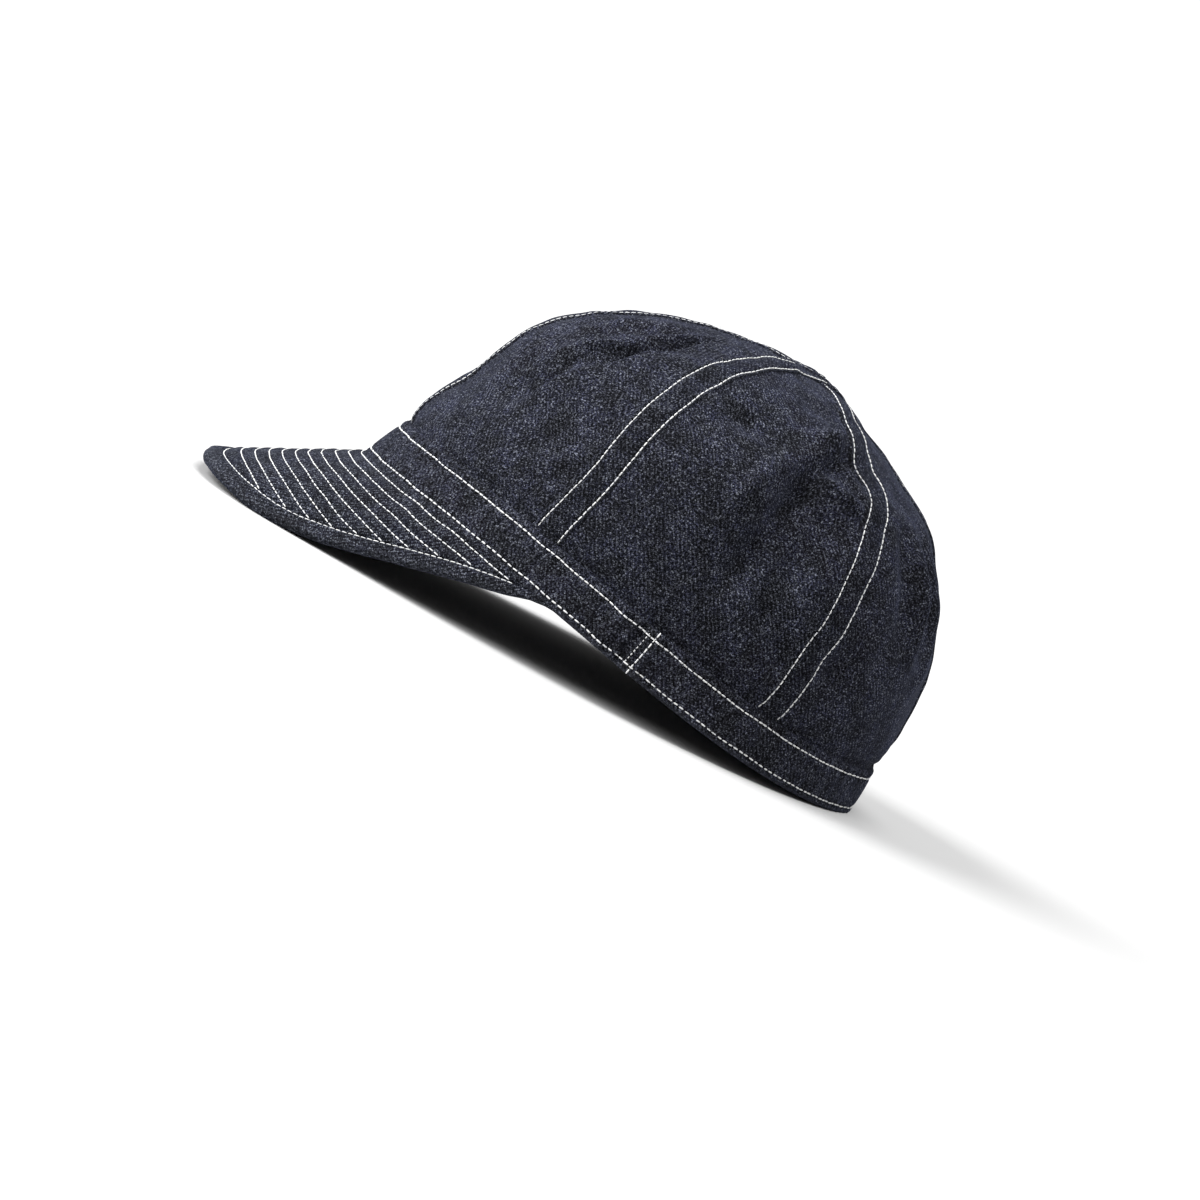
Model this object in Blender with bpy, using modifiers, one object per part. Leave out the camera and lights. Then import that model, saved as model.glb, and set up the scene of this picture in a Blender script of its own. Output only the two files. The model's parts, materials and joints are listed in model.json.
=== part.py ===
"""Army cap: a soft denim work cap with six crown panels, a stitched band and a short peak.

The cap is modelled in metres. The peak points along -Y, the wearer's left is +X and +Z is up.
It lies on the floor by itself, on the edge of its peak and the back of its band, and the origin
is on the floor under the middle of its box. Every shape is first worked out in the cap's own
frame, whose plane z = 0 is the band's lower edge, and is then tilted and set down.
"""

from collections import namedtuple
from math import atan2, cos, exp, pi, radians, sin, sqrt

import bmesh
import bpy
from mathutils import Matrix, Vector

# Band: a doubled strip that leans inward from its lower edge to its upper edge.
RIM_LENGTH = 0.2030          # outside, front to back, at the lower edge
RIM_WIDTH = 0.1656           # outside, side to side, at the lower edge
RIM_EGG = 0.026              # share by which the front is narrower and the back wider
RIM_WAVE = 0.0023            # the lower edge rises this much at the temples, and drops behind
BAND_HEIGHT = 0.0165
BAND_WALL = 0.0024
BAND_LEAN_ENDS = 0.0035      # how far the upper edge lies in from the lower one, front and back
BAND_LEAN_SIDES = 0.0025
BAND_SHIFT = 0.0017          # the upper edge's middle lies this far behind the lower one's
LAP_AZIMUTH = 94.5           # where the band's outer end stops, on the wearer's left
LAP_LENGTH = 0.011
LAP_STEP = 0.0009
LAP_RAMP = 0.0010
LAP_FADE = 0.0060

# Crown: six gores, each one layer of denim, thicker where a seam is felled.
CROWN_RISE = 0.0924          # from the band's upper edge to the top
CROWN_SET_BACK = 0.0060      # the panels meet this far behind the rim's middle
CROWN_INSET = 0.0010         # the crown stands this far inside the band's outer face
CROWN_WALL = 0.0013
PANEL_NAMES = ("crown_front_left", "crown_side_left", "crown_rear_left",
               "crown_rear_right", "crown_side_right", "crown_front_right")
FELL_WIDTH = 0.0104          # the doubled strip along a seam
FELL_STEP = 0.0008           # how far it stands out
FELL_RAMP = 0.0014
FELL_MOST = 0.16             # and its half width in radians, where the seams run together
TOP_HOLE = 0.0016            # the panels' tips end this far from the middle

# Peak: a short stitched visor, hung from the band's lower edge.
PEAK_DEPTH = 0.0533          # along the cloth in the middle
PEAK_HALF_ANGLE = 72.0       # the corners' azimuth
PEAK_WALL = 0.0028
PEAK_FAN = 0.85              # 0 keeps the ruled lines parallel, 1 sets them square to the band

# Fits.
CLEARANCE = 0.0003           # left between pieces that touch
TILT_MOST = 25.0             # degrees within which the rest is looked for
PRESSED = 0.0005             # how much of the cloth is pressed flat where the cap rests

# Cells of each surface, and the angle from which an edge is drawn sharp.
BAND_CELLS = (72, 2)
PANEL_ROWS = 20
PANEL_FIELD_CELLS = 8
PEAK_CELLS = (40, 9)
SHARP_ANGLE = radians(40)

Seam = namedtuple("Seam", "foot drift side")
Section = namedtuple("Section", "rise front back side")
Fold = namedtuple("Fold", "azimuth_a level_a azimuth_b level_b depth width")
PeakLine = namedtuple("PeakLine", "depth slope")

# Seams of the crown, from the front round by the wearer's left. Foot is the azimuth at the
# band, drift is what it gains up to the top, mostly near there, and side tells whether the
# felled strip ends behind the seam (1) or before it (-1), going round.
SEAMS = [Seam(*row) for row in (
    (0.0, 0.0, -1),
    (65.0, -18.0, 1),
    (121.0, 12.0, 1),
    (180.0, 0.0, 1),
    (239.0, -12.0, -1),
    (295.0, 18.0, -1),
)]

# Crown sections, evenly spaced up the cloth. Rise is a share of CROWN_RISE; front, back and
# side are shares of the crown's reach at the band.
CROWN_SECTIONS = [Section(*row) for row in (
    (0.000, 1.000, 1.000, 1.000),
    (0.132, 0.986, 0.994, 1.012),
    (0.262, 0.943, 0.964, 1.008),
    (0.392, 0.919, 0.929, 0.985),
    (0.511, 0.889, 0.867, 0.945),
    (0.619, 0.827, 0.797, 0.885),
    (0.716, 0.741, 0.709, 0.805),
    (0.798, 0.642, 0.613, 0.710),
    (0.868, 0.523, 0.449, 0.600),
    (0.922, 0.406, 0.309, 0.475),
    (0.963, 0.286, 0.177, 0.340),
    (0.990, 0.167, 0.110, 0.190),
    (1.000, 0.000, 0.000, 0.000),
)]

# Folds and dents of the crown: from one place to another on the cloth, as azimuth in degrees
# and level (0 at the band, 1 at the top). Depth is negative for a valley; width is its spread.
# Both are shares of CROWN_RISE.
CLOTH_RISE = 1.6             # length of cloth from the band to the top, for each CROWN_RISE
FOLD_END = 0.35              # a fold's depth at its two ends, as a share of its middle's
FOLD_FREE = 0.10             # levels at the band and at the top over which folds die out
FOLDS = [Fold(*row) for row in (
    (30, 0.18, 36, 0.36, -0.030, 0.075),
    (36, 0.36, 40, 0.50, -0.040, 0.075),
    (40, 0.50, 37, 0.68, -0.035, 0.075),
    (34, 0.18, 44, 0.40, 0.020, 0.060),
    (44, 0.40, 49, 0.62, 0.022, 0.060),
    (30, 0.36, 34, 0.64, 0.020, 0.050),
    (24, 0.38, 27, 0.64, -0.025, 0.060),
    (101, 0.56, 98, 0.16, -0.045, 0.130),
    (75, 0.50, 78, 0.56, -0.022, 0.110),
    (103, 0.66, 90, 0.33, 0.020, 0.070),
    (99, 0.68, 121, 0.54, 0.022, 0.055),
    (112, 0.60, 132, 0.70, -0.030, 0.070),
    (106, 0.19, 114, 0.11, -0.018, 0.060),
    (129, 0.22, 128, 0.12, -0.020, 0.100),
    (146, 0.55, 150, 0.26, 0.016, 0.050),
    (154, 0.50, 156, 0.30, -0.016, 0.050),
    (326, 0.20, 318, 0.60, -0.030, 0.090),
    (312, 0.30, 306, 0.60, 0.018, 0.070),
    (284, 0.42, 276, 0.60, 0.018, 0.090),
    (262, 0.50, 266, 0.18, -0.038, 0.120),
    (246, 0.66, 232, 0.56, -0.026, 0.070),
    (212, 0.50, 208, 0.25, 0.016, 0.060),
    (200, 0.30, 198, 0.55, -0.014, 0.070),
)]

# Peak sections, evenly spaced from the middle to a corner. Depth is a share of PEAK_DEPTH and
# slope is in degrees below the rim.
PEAK_SECTIONS = [PeakLine(*row) for row in (
    (1.000, 36.0),
    (0.995, 36.0),
    (0.955, 38.5),
    (0.845, 45.5),
    (0.645, 55.0),
    (0.455, 63.0),
    (0.300, 69.0),
    (0.170, 73.0),
    (0.060, 75.0),
)]

DENIM = {
    "crown": (0.034, 0.037, 0.052, 1.0),
    "band": (0.030, 0.033, 0.045, 1.0),
    "peak": (0.040, 0.043, 0.060, 1.0),
}
DENIM_ROUGHNESS = 0.92
STEP = 0.004                          # the step, in radians or levels, that slopes are read over
HALVINGS = 40                         # how often a search halves its range
WAVE_PEAK = 2.0 / (3.0 * sqrt(3.0))   # the largest value of sin(a)^2 cos(a)


def blend(rows, column, place):
    """Value of a table's column at a place from 0 to 1, on a smooth curve through its rows."""
    last = len(rows) - 1
    at = min(max(place, 0.0), 1.0) * last
    i = min(int(at), last - 1)
    t = at - i
    near = (rows[min(max(k, 0), last)] for k in (i - 1, i, i + 1, i + 2))
    before, a, b, after = (getattr(row, column) for row in near)
    if i == 0:
        before = 2 * a - b
    if i == last - 1:
        after = 2 * b - a
    return 0.5 * (2 * a + (b - before) * t + (2 * before - 5 * a + 4 * b - after) * t ** 2
                  + (3 * a - before - 3 * b + after) * t ** 3)


def rim_wave(azimuth):
    return RIM_WAVE * sin(azimuth) ** 2 * cos(azimuth) / WAVE_PEAK


def band_point(azimuth, share, inset=0.0):
    """Place on the band's outer face, a share of the way up it."""
    half_length = RIM_LENGTH / 2 - BAND_LEAN_ENDS * share - inset
    half_width = RIM_WIDTH / 2 - BAND_LEAN_SIDES * share - inset
    return Vector((
        half_width * sin(azimuth) * (1 - RIM_EGG * cos(azimuth)),
        BAND_SHIFT * share - half_length * cos(azimuth),
        BAND_HEIGHT * share + rim_wave(azimuth),
    ))


def crown_base(azimuth, level):
    """Place on the crown's cloth before its folds are added."""
    rise, front, back, side = (blend(CROWN_SECTIONS, name, level) for name in Section._fields)
    foot = band_point(azimuth, 1.0, CROWN_INSET)
    length_share = front if cos(azimuth) > 0 else back
    return Vector((
        foot.x * side,
        BAND_SHIFT + (foot.y - BAND_SHIFT) * length_share + CROWN_SET_BACK * rise,
        BAND_HEIGHT + CLEARANCE + CROWN_RISE * rise + rim_wave(azimuth) * (1 - level) ** 2,
    ))


def crown_normal(azimuth, level):
    """The way out of the crown's cloth, found from its slopes over a short step."""
    level = min(level, 1 - 2 * STEP)
    across = crown_base(azimuth + STEP, level) - crown_base(azimuth - STEP, level)
    upward = crown_base(azimuth, level + STEP) - crown_base(azimuth, max(level - STEP, 0.0))
    return across.cross(upward).normalized()


def fold_relief(azimuth, level):
    """How far the folds push the cloth out (or in) at a place on the crown."""
    around = RIM_WIDTH / 2 * cos(level * pi / 2)
    upward = CROWN_RISE * CLOTH_RISE
    relief = 0.0
    for fold in FOLDS:
        turn = (azimuth - radians(fold.azimuth_a) + pi) % (2 * pi) - pi
        along = (radians(fold.azimuth_b - fold.azimuth_a) * around,
                 (fold.level_b - fold.level_a) * upward)
        place = (turn * around, (level - fold.level_a) * upward)
        length = along[0] ** 2 + along[1] ** 2
        t = min(max((place[0] * along[0] + place[1] * along[1]) / length, 0.0), 1.0)
        away = (place[0] - along[0] * t) ** 2 + (place[1] - along[1] * t) ** 2
        taper = FOLD_END + (1 - FOLD_END) * sin(pi * t)
        relief += fold.depth * CROWN_RISE * taper * exp(-away / (fold.width * CROWN_RISE) ** 2)
    return relief * min(level / FOLD_FREE, (1 - level) / FOLD_FREE, 1.0)


def crown_point(azimuth, level):
    base = crown_base(azimuth, level)
    return base + crown_normal(azimuth, level) * fold_relief(azimuth, level)


def peak_point(azimuth, out):
    """Place on the peak's upper face, a distance out along the cloth from the band."""
    share = abs(azimuth) / radians(PEAK_HALF_ANGLE)
    slope = radians(blend(PEAK_SECTIONS, "slope", share))
    tangent = (band_point(azimuth + STEP, 0) - band_point(azimuth - STEP, 0)).normalized()
    heading = PEAK_FAN * atan2(tangent.y, tangent.x)
    line = Vector((cos(slope) * sin(heading), -cos(slope) * cos(heading), -sin(slope)))
    square = (line - tangent * line.dot(tangent)).length
    start = band_point(azimuth, 0) - Vector((0, 0, CLEARANCE))
    return start + line * (out / square)


def peak_depth(azimuth):
    share = abs(azimuth) / radians(PEAK_HALF_ANGLE)
    return PEAK_DEPTH * blend(PEAK_SECTIONS, "depth", share)


def rest_tilt(front, back):
    """Angle about X that brings the lowest points of the peak and of the band to one height."""
    low, high = 0.0, radians(TILT_MOST)
    for _ in range(HALVINGS):
        middle = (low + high) / 2
        turn = Matrix.Rotation(-middle, 3, "X")
        if min((turn @ p).z for p in front) < min((turn @ p).z for p in back):
            low = middle
        else:
            high = middle
    return middle


def sheet_object(name, cells, place, weights=None):
    """A grid bent over a surface: place(i, j) gives the point of column i in row j."""
    columns, rows = cells
    bm = bmesh.new()
    bmesh.ops.create_grid(bm, x_segments=columns, y_segments=rows, size=1)
    fell = {}
    for vert in bm.verts:
        i = round((vert.co.x + 1) / 2 * columns)
        j = round((vert.co.y + 1) / 2 * rows)
        vert.co = place(i, j)
        if weights:
            fell[vert.index] = weights[i]
    bm.verts.index_update()
    mesh = bpy.data.meshes.new(name)
    bm.to_mesh(mesh)
    bm.free()
    obj = bpy.data.objects.new(name, mesh)
    bpy.context.scene.collection.objects.link(obj)
    if weights:
        group = obj.vertex_groups.new(name="fell")
        for index, weight in fell.items():
            group.add([index], weight, "REPLACE")
    return obj


def thicken(obj, wall, extra=0.0):
    """Give the sheet its wall, inward, thicker by extra where its fell group says so."""
    solid = obj.modifiers.new("wall", "SOLIDIFY")
    solid.thickness = wall + extra
    solid.offset = -1
    if extra:
        solid.vertex_group = "fell"
        solid.thickness_vertex_group = wall / (wall + extra)


def denim(name, colour):
    material = bpy.data.materials.new(name)
    material.use_nodes = True
    surface = material.node_tree.nodes["Principled BSDF"]
    surface.inputs["Base Color"].default_value = colour
    surface.inputs["Roughness"].default_value = DENIM_ROUGHNESS
    surface.inputs["Metallic"].default_value = 0.0
    return material


def band_stops():
    """The band's columns, from behind its lap round to it: azimuth, and 1 on the lap."""
    around = RIM_WIDTH / 2
    lap_end = radians(LAP_AZIMUTH)
    lap_start = lap_end - LAP_LENGTH / around
    first = lap_end + LAP_RAMP / around
    last = lap_start - LAP_FADE / around + 2 * pi
    plain = BAND_CELLS[0] - 3
    stops = [(first + (last - first) * k / plain, 0.0) for k in range(plain + 1)]
    stops += [(lap_start + 2 * pi, 1.0), (lap_end + 2 * pi, 1.0), (first + 2 * pi, 0.0)]
    return stops


def make_band():
    stops = band_stops()
    rows = BAND_CELLS[1]

    def place(i, j):
        azimuth, raised = stops[i]
        return band_point(azimuth, j / rows, -LAP_STEP * raised)

    obj = sheet_object("band", BAND_CELLS, place, [raised for _, raised in stops])
    weld_ends(obj)
    thicken(obj, BAND_WALL, LAP_STEP)
    obj.data.materials.append(denim("band_denim", DENIM["band"]))
    return obj


def arc_radius(azimuth, level):
    """Length along the crown's cloth for each radian of azimuth."""
    return (crown_base(azimuth + STEP, level) - crown_base(azimuth - STEP, level)).length / (2 * STEP)


def seam_at(number, level):
    """A seam's azimuth at a level, and the side on which its strip ends."""
    rounds, number = divmod(number, len(SEAMS))
    foot, drift, side = SEAMS[number]
    return radians(foot + drift * level ** 2) + 2 * pi * rounds, side


def panel_columns(first_seam, level):
    """The columns of the panel that follows a seam: azimuth, and 1 on a felled strip."""
    start_seam, start_side = seam_at(first_seam, level)
    end_seam, end_side = seam_at(first_seam + 1, level)

    def turn(length, seam, most):
        return min(length / arc_radius(seam, level), most)

    gap = [turn(CLEARANCE / 2, seam, FELL_MOST / 2) for seam in (start_seam, end_seam)]
    half = [turn(FELL_WIDTH / 2, seam, FELL_MOST) for seam in (start_seam, end_seam)]
    ramp = [turn(FELL_RAMP, seam, FELL_MOST / 4) for seam in (start_seam, end_seam)]
    start = start_seam + start_side * half[0] + gap[0]
    end = end_seam + end_side * half[1] - gap[1]
    head = [(start, 0.0)]
    if start_side < 0:
        head = [(start + half[0] * k, 1.0) for k in range(3)]
        head.append((head[-1][0] + ramp[0], 0.0))
    tail = [(end, 0.0)]
    if end_side > 0:
        tail = [(end - half[1] * k, 1.0) for k in (2, 1, 0)]
        tail.insert(0, (tail[0][0] - ramp[1], 0.0))
    field_start, field_end = head[-1][0], tail[0][0]
    field = [(field_start + (field_end - field_start) * k / PANEL_FIELD_CELLS, 0.0)
             for k in range(1, PANEL_FIELD_CELLS)]
    return head + field + tail


def top_level():
    """The level where the panels' tips end, TOP_HOLE from the middle of the crown."""
    low, high = 0.9, 1.0
    middle_top = crown_base(0.0, 1.0)
    for _ in range(HALVINGS):
        level = (low + high) / 2
        if (crown_base(0.0, level) - middle_top).length > TOP_HOLE:
            low = level
        else:
            high = level
    return level


def make_panel(name, first_seam):
    last_level = top_level()
    levels = [last_level * j / PANEL_ROWS for j in range(PANEL_ROWS + 1)]
    columns = [panel_columns(first_seam, level) for level in levels]

    def place(i, j):
        azimuth, felled = columns[j][i]
        outward = crown_normal(azimuth, levels[j])
        return crown_point(azimuth, levels[j]) + outward * FELL_STEP * felled

    cells = (len(columns[0]) - 1, PANEL_ROWS)
    obj = sheet_object(name, cells, place, [felled for _, felled in columns[0]])
    thicken(obj, CROWN_WALL, FELL_STEP)
    obj.data.materials.append(denim(name + "_denim", DENIM["crown"]))
    return obj


def make_peak():
    columns, rows = PEAK_CELLS

    def place(i, j):
        azimuth = radians(PEAK_HALF_ANGLE) * (1 - 2 * i / columns)
        return peak_point(azimuth, peak_depth(azimuth) * j / rows)

    obj = sheet_object("peak", PEAK_CELLS, place)
    thicken(obj, PEAK_WALL)
    obj.data.materials.append(denim("peak_denim", DENIM["peak"]))
    return obj


def weld_ends(obj):
    """Join the two ends of a strip that runs all the way round."""
    weld = obj.modifiers.new("closed_ring", "WELD")
    weld.merge_threshold = CLEARANCE / 10


def made_solid(obj):
    """Put an object's modifiers into its mesh."""
    evaluated = obj.evaluated_get(bpy.context.evaluated_depsgraph_get())
    mesh = bpy.data.meshes.new_from_object(evaluated)
    obj.modifiers.clear()
    obj.data = mesh
    return mesh


def set_down(pieces, front, back):
    """Tilt the cap to its rest, press flat what touches the floor, and centre its box."""
    solids = [made_solid(obj) for obj in pieces]
    tilt = rest_tilt([v.co for v in front.data.vertices], [v.co for v in back.data.vertices])
    for mesh in solids:
        mesh.transform(Matrix.Rotation(-tilt, 4, "X"))
    points = [v.co for mesh in solids for v in mesh.vertices]
    middle_x = (min(p.x for p in points) + max(p.x for p in points)) / 2
    middle_y = (min(p.y for p in points) + max(p.y for p in points)) / 2
    floor = min(p.z for p in points) + PRESSED
    for mesh in solids:
        mesh.transform(Matrix.Translation((-middle_x, -middle_y, -floor)))
        for vert in mesh.vertices:
            vert.co.z = max(vert.co.z, 0.0)
        mesh.shade_smooth()
        mesh.set_sharp_from_angle(angle=SHARP_ANGLE)


def build():
    for obj in list(bpy.data.objects):
        bpy.data.objects.remove(obj, do_unlink=True)
    pieces = [make_panel(name, k) for k, name in enumerate(PANEL_NAMES)]
    band, peak = make_band(), make_peak()
    pieces += [band, peak]
    set_down(pieces, front=peak, back=band)
    cap = bpy.data.collections.new("army_cap")
    bpy.context.scene.collection.children.link(cap)
    for obj in pieces:
        bpy.context.scene.collection.objects.unlink(obj)
        cap.objects.link(obj)


build()
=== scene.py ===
# %% [markdown]
# # A denim army cap
# This lesson dresses the plain solids of a soft work cap: six crown panels joined by felled seams,
# a stitched band round the head and a short quilted peak. Each solid is stood in for by a finer
# piece of cloth that lies in the same place. The solids come from a imported frame, which gives
# where everything is. We load it first.

# %% Load the frame
import itertools
import json
from math import cos, pi, radians, sin, sqrt, tau

import bmesh
import bpy
import numpy as np
from mathutils import Matrix, Vector
from mathutils.bvhtree import BVHTree

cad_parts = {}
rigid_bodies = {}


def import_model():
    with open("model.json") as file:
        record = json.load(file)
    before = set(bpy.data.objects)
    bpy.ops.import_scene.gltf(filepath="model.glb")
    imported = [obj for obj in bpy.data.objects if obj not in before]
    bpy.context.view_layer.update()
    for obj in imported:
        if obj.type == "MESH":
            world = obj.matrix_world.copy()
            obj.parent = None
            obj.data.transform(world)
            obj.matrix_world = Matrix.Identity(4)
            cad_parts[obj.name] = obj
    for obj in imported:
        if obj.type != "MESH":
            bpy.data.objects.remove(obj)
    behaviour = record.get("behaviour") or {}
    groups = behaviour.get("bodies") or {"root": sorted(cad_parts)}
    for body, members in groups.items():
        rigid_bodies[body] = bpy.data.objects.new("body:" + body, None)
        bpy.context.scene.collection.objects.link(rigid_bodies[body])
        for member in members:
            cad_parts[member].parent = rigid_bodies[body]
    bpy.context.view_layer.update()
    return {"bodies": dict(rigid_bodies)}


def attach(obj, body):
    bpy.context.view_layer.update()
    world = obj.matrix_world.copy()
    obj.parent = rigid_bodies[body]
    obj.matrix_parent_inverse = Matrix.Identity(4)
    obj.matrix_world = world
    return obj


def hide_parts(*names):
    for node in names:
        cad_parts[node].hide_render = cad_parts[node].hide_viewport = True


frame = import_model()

MM = 0.001

# %% [markdown]
# ## The sizes of the cap
# A cap is cut to a head: here about 57 to 58 cm round, which makes a rim 203 mm long and 166 mm
# wide. We work in the cap's own frame, whose plane z = 0 is the band's lower edge, with the peak
# towards -Y and the wearer's left at +X. An azimuth of 0 is the front, and it grows by the left.
# The values are those of the solids, so the cloth follows them everywhere.

# %% Sizes of the rim, the band, the crown and the peak
RIM_LENGTH = 0.2030
RIM_WIDTH = 0.1656
RIM_EGG = 0.026              # the front is narrower than the back
RIM_WAVE = 0.0023            # the lower edge rises at the temples
BAND_HEIGHT = 0.0165
BAND_WALL = 0.0024
BAND_LEAN_ENDS = 0.0035
BAND_LEAN_SIDES = 0.0025
BAND_SHIFT = 0.0017
LAP_AZIMUTH = 94.5           # where the band's outer end stops
LAP_LENGTH = 0.011
LAP_STEP = 0.0009
LAP_FADE = 0.0060            # the step fades in over this length
LAP_EDGE = 0.0005            # and ends in an edge rounded over this one
CROWN_RISE = 0.0924
CROWN_SET_BACK = 0.0060
CROWN_INSET = 0.0010
CROWN_WALL = 0.0013
PEAK_DEPTH = 0.0533
PEAK_HALF_ANGLE = 72.0
PEAK_WALL = 0.0028
PEAK_FAN = 0.85
CLEARANCE = 0.0003
WAVE_PEAK = 2.0 / (3.0 * sqrt(3.0))
STEP = 0.004                 # radians or levels over which slopes are read

# The crown's sections, evenly spaced up the cloth: rise, then reach at the front, back and side.
CROWN_SECTIONS = (
    (0.000, 1.000, 1.000, 1.000), (0.132, 0.986, 0.994, 1.012), (0.262, 0.943, 0.964, 1.008),
    (0.392, 0.919, 0.929, 0.985), (0.511, 0.889, 0.867, 0.945), (0.619, 0.827, 0.797, 0.885),
    (0.716, 0.741, 0.709, 0.805), (0.798, 0.642, 0.613, 0.710), (0.868, 0.523, 0.449, 0.600),
    (0.922, 0.406, 0.309, 0.475), (0.963, 0.286, 0.177, 0.340), (0.990, 0.167, 0.110, 0.190),
    (1.000, 0.000, 0.000, 0.000),
)
# The peak's sections, evenly spaced from the middle to a corner: depth, then slope in degrees.
PEAK_SECTIONS = (
    (1.000, 36.0), (0.995, 36.0), (0.955, 38.5), (0.845, 45.5), (0.645, 55.0), (0.455, 63.0),
    (0.300, 69.0), (0.170, 73.0), (0.060, 75.0),
)
# Seams of the crown: azimuth at the band, and what it gains up to the top.
SEAM_FEET = {"front": (0.0, 0.0), "front_left": (65.0, -18.0), "rear_left": (121.0, 12.0),
             "rear": (180.0, 0.0), "rear_right": (239.0, -12.0), "front_right": (295.0, 18.0)}
# The large folds, as in the solids: two places (azimuth, level), depth and spread. The lengths
# are shares of CROWN_RISE, and a negative depth is a valley.
FOLDS = (
    (30, 0.18, 36, 0.36, -0.030, 0.075), (36, 0.36, 40, 0.50, -0.040, 0.075),
    (40, 0.50, 37, 0.68, -0.035, 0.075), (34, 0.18, 44, 0.40, 0.020, 0.060),
    (44, 0.40, 49, 0.62, 0.022, 0.060), (30, 0.36, 34, 0.64, 0.020, 0.050),
    (24, 0.38, 27, 0.64, -0.025, 0.060), (101, 0.56, 98, 0.16, -0.045, 0.130),
    (75, 0.50, 78, 0.56, -0.022, 0.110), (103, 0.66, 90, 0.33, 0.020, 0.070),
    (99, 0.68, 121, 0.54, 0.022, 0.055), (112, 0.60, 132, 0.70, -0.030, 0.070),
    (106, 0.19, 114, 0.11, -0.018, 0.060), (129, 0.22, 128, 0.12, -0.020, 0.100),
    (146, 0.55, 150, 0.26, 0.016, 0.050), (154, 0.50, 156, 0.30, -0.016, 0.050),
    (326, 0.20, 318, 0.60, -0.030, 0.090), (312, 0.30, 306, 0.60, 0.018, 0.070),
    (284, 0.42, 276, 0.60, 0.018, 0.090), (262, 0.50, 266, 0.18, -0.038, 0.120),
    (246, 0.66, 232, 0.56, -0.026, 0.070), (212, 0.50, 208, 0.25, 0.016, 0.060),
    (200, 0.30, 198, 0.55, -0.014, 0.070),
)
CLOTH_RISE = 1.6
FOLD_END = 0.35
FOLD_FREE = 0.10
print("rim round the outside in mm:",
      round(pi * (RIM_LENGTH + RIM_WIDTH) / 2 / MM), "and crown folds:", len(FOLDS))

# %% [markdown]
# ## Two helpers: a curve through a table, and gentle unevenness
# The tables above hold a few rows. A smooth curve through them gives the value anywhere. Cloth is
# never quite even either, so we also want soft random values in space. Blender has noise of its
# own, but a small lattice of seeded values in numpy is faster for whole meshes at once, and it
# gives the same cap on every run.

# %% A smooth curve through a table's rows
def blend(rows, place):
    """Rows of a table, read at places from 0 to 1 on a smooth curve through them."""
    rows = np.asarray(rows, float)
    last = len(rows) - 1
    at = np.clip(np.asarray(place, float), 0, 1) * last
    i = np.minimum(at.astype(int), last - 1)
    t = (at - i)[..., None]
    a, b = rows[i], rows[i + 1]
    before = np.where(i[..., None] == 0, 2 * a - b, rows[np.maximum(i - 1, 0)])
    after = np.where(i[..., None] == last - 1, 2 * b - a, rows[np.minimum(i + 2, last)])
    return 0.5 * (2 * a + (b - before) * t + (2 * before - 5 * a + 4 * b - after) * t ** 2
                  + (3 * a - before - 3 * b + after) * t ** 3)

# %% Soft random values in space
def wander(points, size, seed):
    """Smooth random values from -1 to 1 at points in space, changing over a length of size."""
    table = np.random.default_rng(seed).uniform(-1, 1, 4096)
    place = np.asarray(points, float) / size + 64.0
    cell = np.floor(place).astype(np.int64)
    t = place - cell
    t = t * t * (3 - 2 * t)
    total = np.zeros(place.shape[:-1])
    for corner in itertools.product((0, 1), repeat=3):
        at = cell + corner
        key = (at[..., 0] * 73856093 ^ at[..., 1] * 19349663 ^ at[..., 2] * 83492791) & 4095
        share = np.prod(np.where(np.array(corner) == 1, t, 1 - t), axis=-1)
        total += table[key] * share
    return total


def unit(vectors):
    return vectors / np.maximum(np.linalg.norm(vectors, axis=-1, keepdims=True), 1e-12)


def ease(x):
    """0 below 0, 1 above 1, and smooth between."""
    x = np.clip(x, 0.0, 1.0)
    return x * x * (3 - 2 * x)


def stack(*parts):
    return np.stack(np.broadcast_arrays(*parts), axis=-1)


def running_length(points, axis=0):
    """Length along each path of points, from its start to each of them."""
    steps = np.linalg.norm(np.diff(points, axis=axis), axis=-1)
    return np.insert(np.cumsum(steps, axis=axis), 0, 0.0, axis=axis)


def hump(away, width):
    """1 where away is 0, falling off smoothly on both sides over a width."""
    return np.exp(-(away / width) ** 2)


def uneven(points, *layers):
    """Unevenness in layers, each with its height, its size and its seed."""
    return sum(height * wander(points, size, seed) for height, size, seed in layers)


def turn_from(centre, azimuth):
    """The signed angle from one azimuth to others, between -pi and pi."""
    return (azimuth - centre + pi) % tau - pi


def round_off(past, width):
    """1 before an edge and 0 past it, falling as a quarter circle over a width."""
    return np.sqrt(np.clip(1 - np.clip((past + width) / width, 0, 1) ** 2, 0, 1))


print("wander at three places:", wander(np.eye(3), 0.1, 5).round(3))

# %% [markdown]
# ## The surfaces of the cap
# The band is a strip bent round an egg-shaped rim. The crown rises from it in sections that
# shrink to a point, and the folds push its cloth in and out along their lines. The peak is a
# ruled surface: straight lines of cloth that fan out from the band's lower edge.

# %% Places on the band and on the crown
def rim_wave(azimuth):
    return RIM_WAVE * np.sin(azimuth) ** 2 * np.cos(azimuth) / WAVE_PEAK


def band_point(azimuth, share, inset=0.0):
    """Places on the band's outer face, a share of the way up it."""
    half_length = RIM_LENGTH / 2 - BAND_LEAN_ENDS * share - inset
    half_width = RIM_WIDTH / 2 - BAND_LEAN_SIDES * share - inset
    return stack(half_width * np.sin(azimuth) * (1 - RIM_EGG * np.cos(azimuth)),
                 BAND_SHIFT * share - half_length * np.cos(azimuth),
                 BAND_HEIGHT * share + rim_wave(azimuth))


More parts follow.
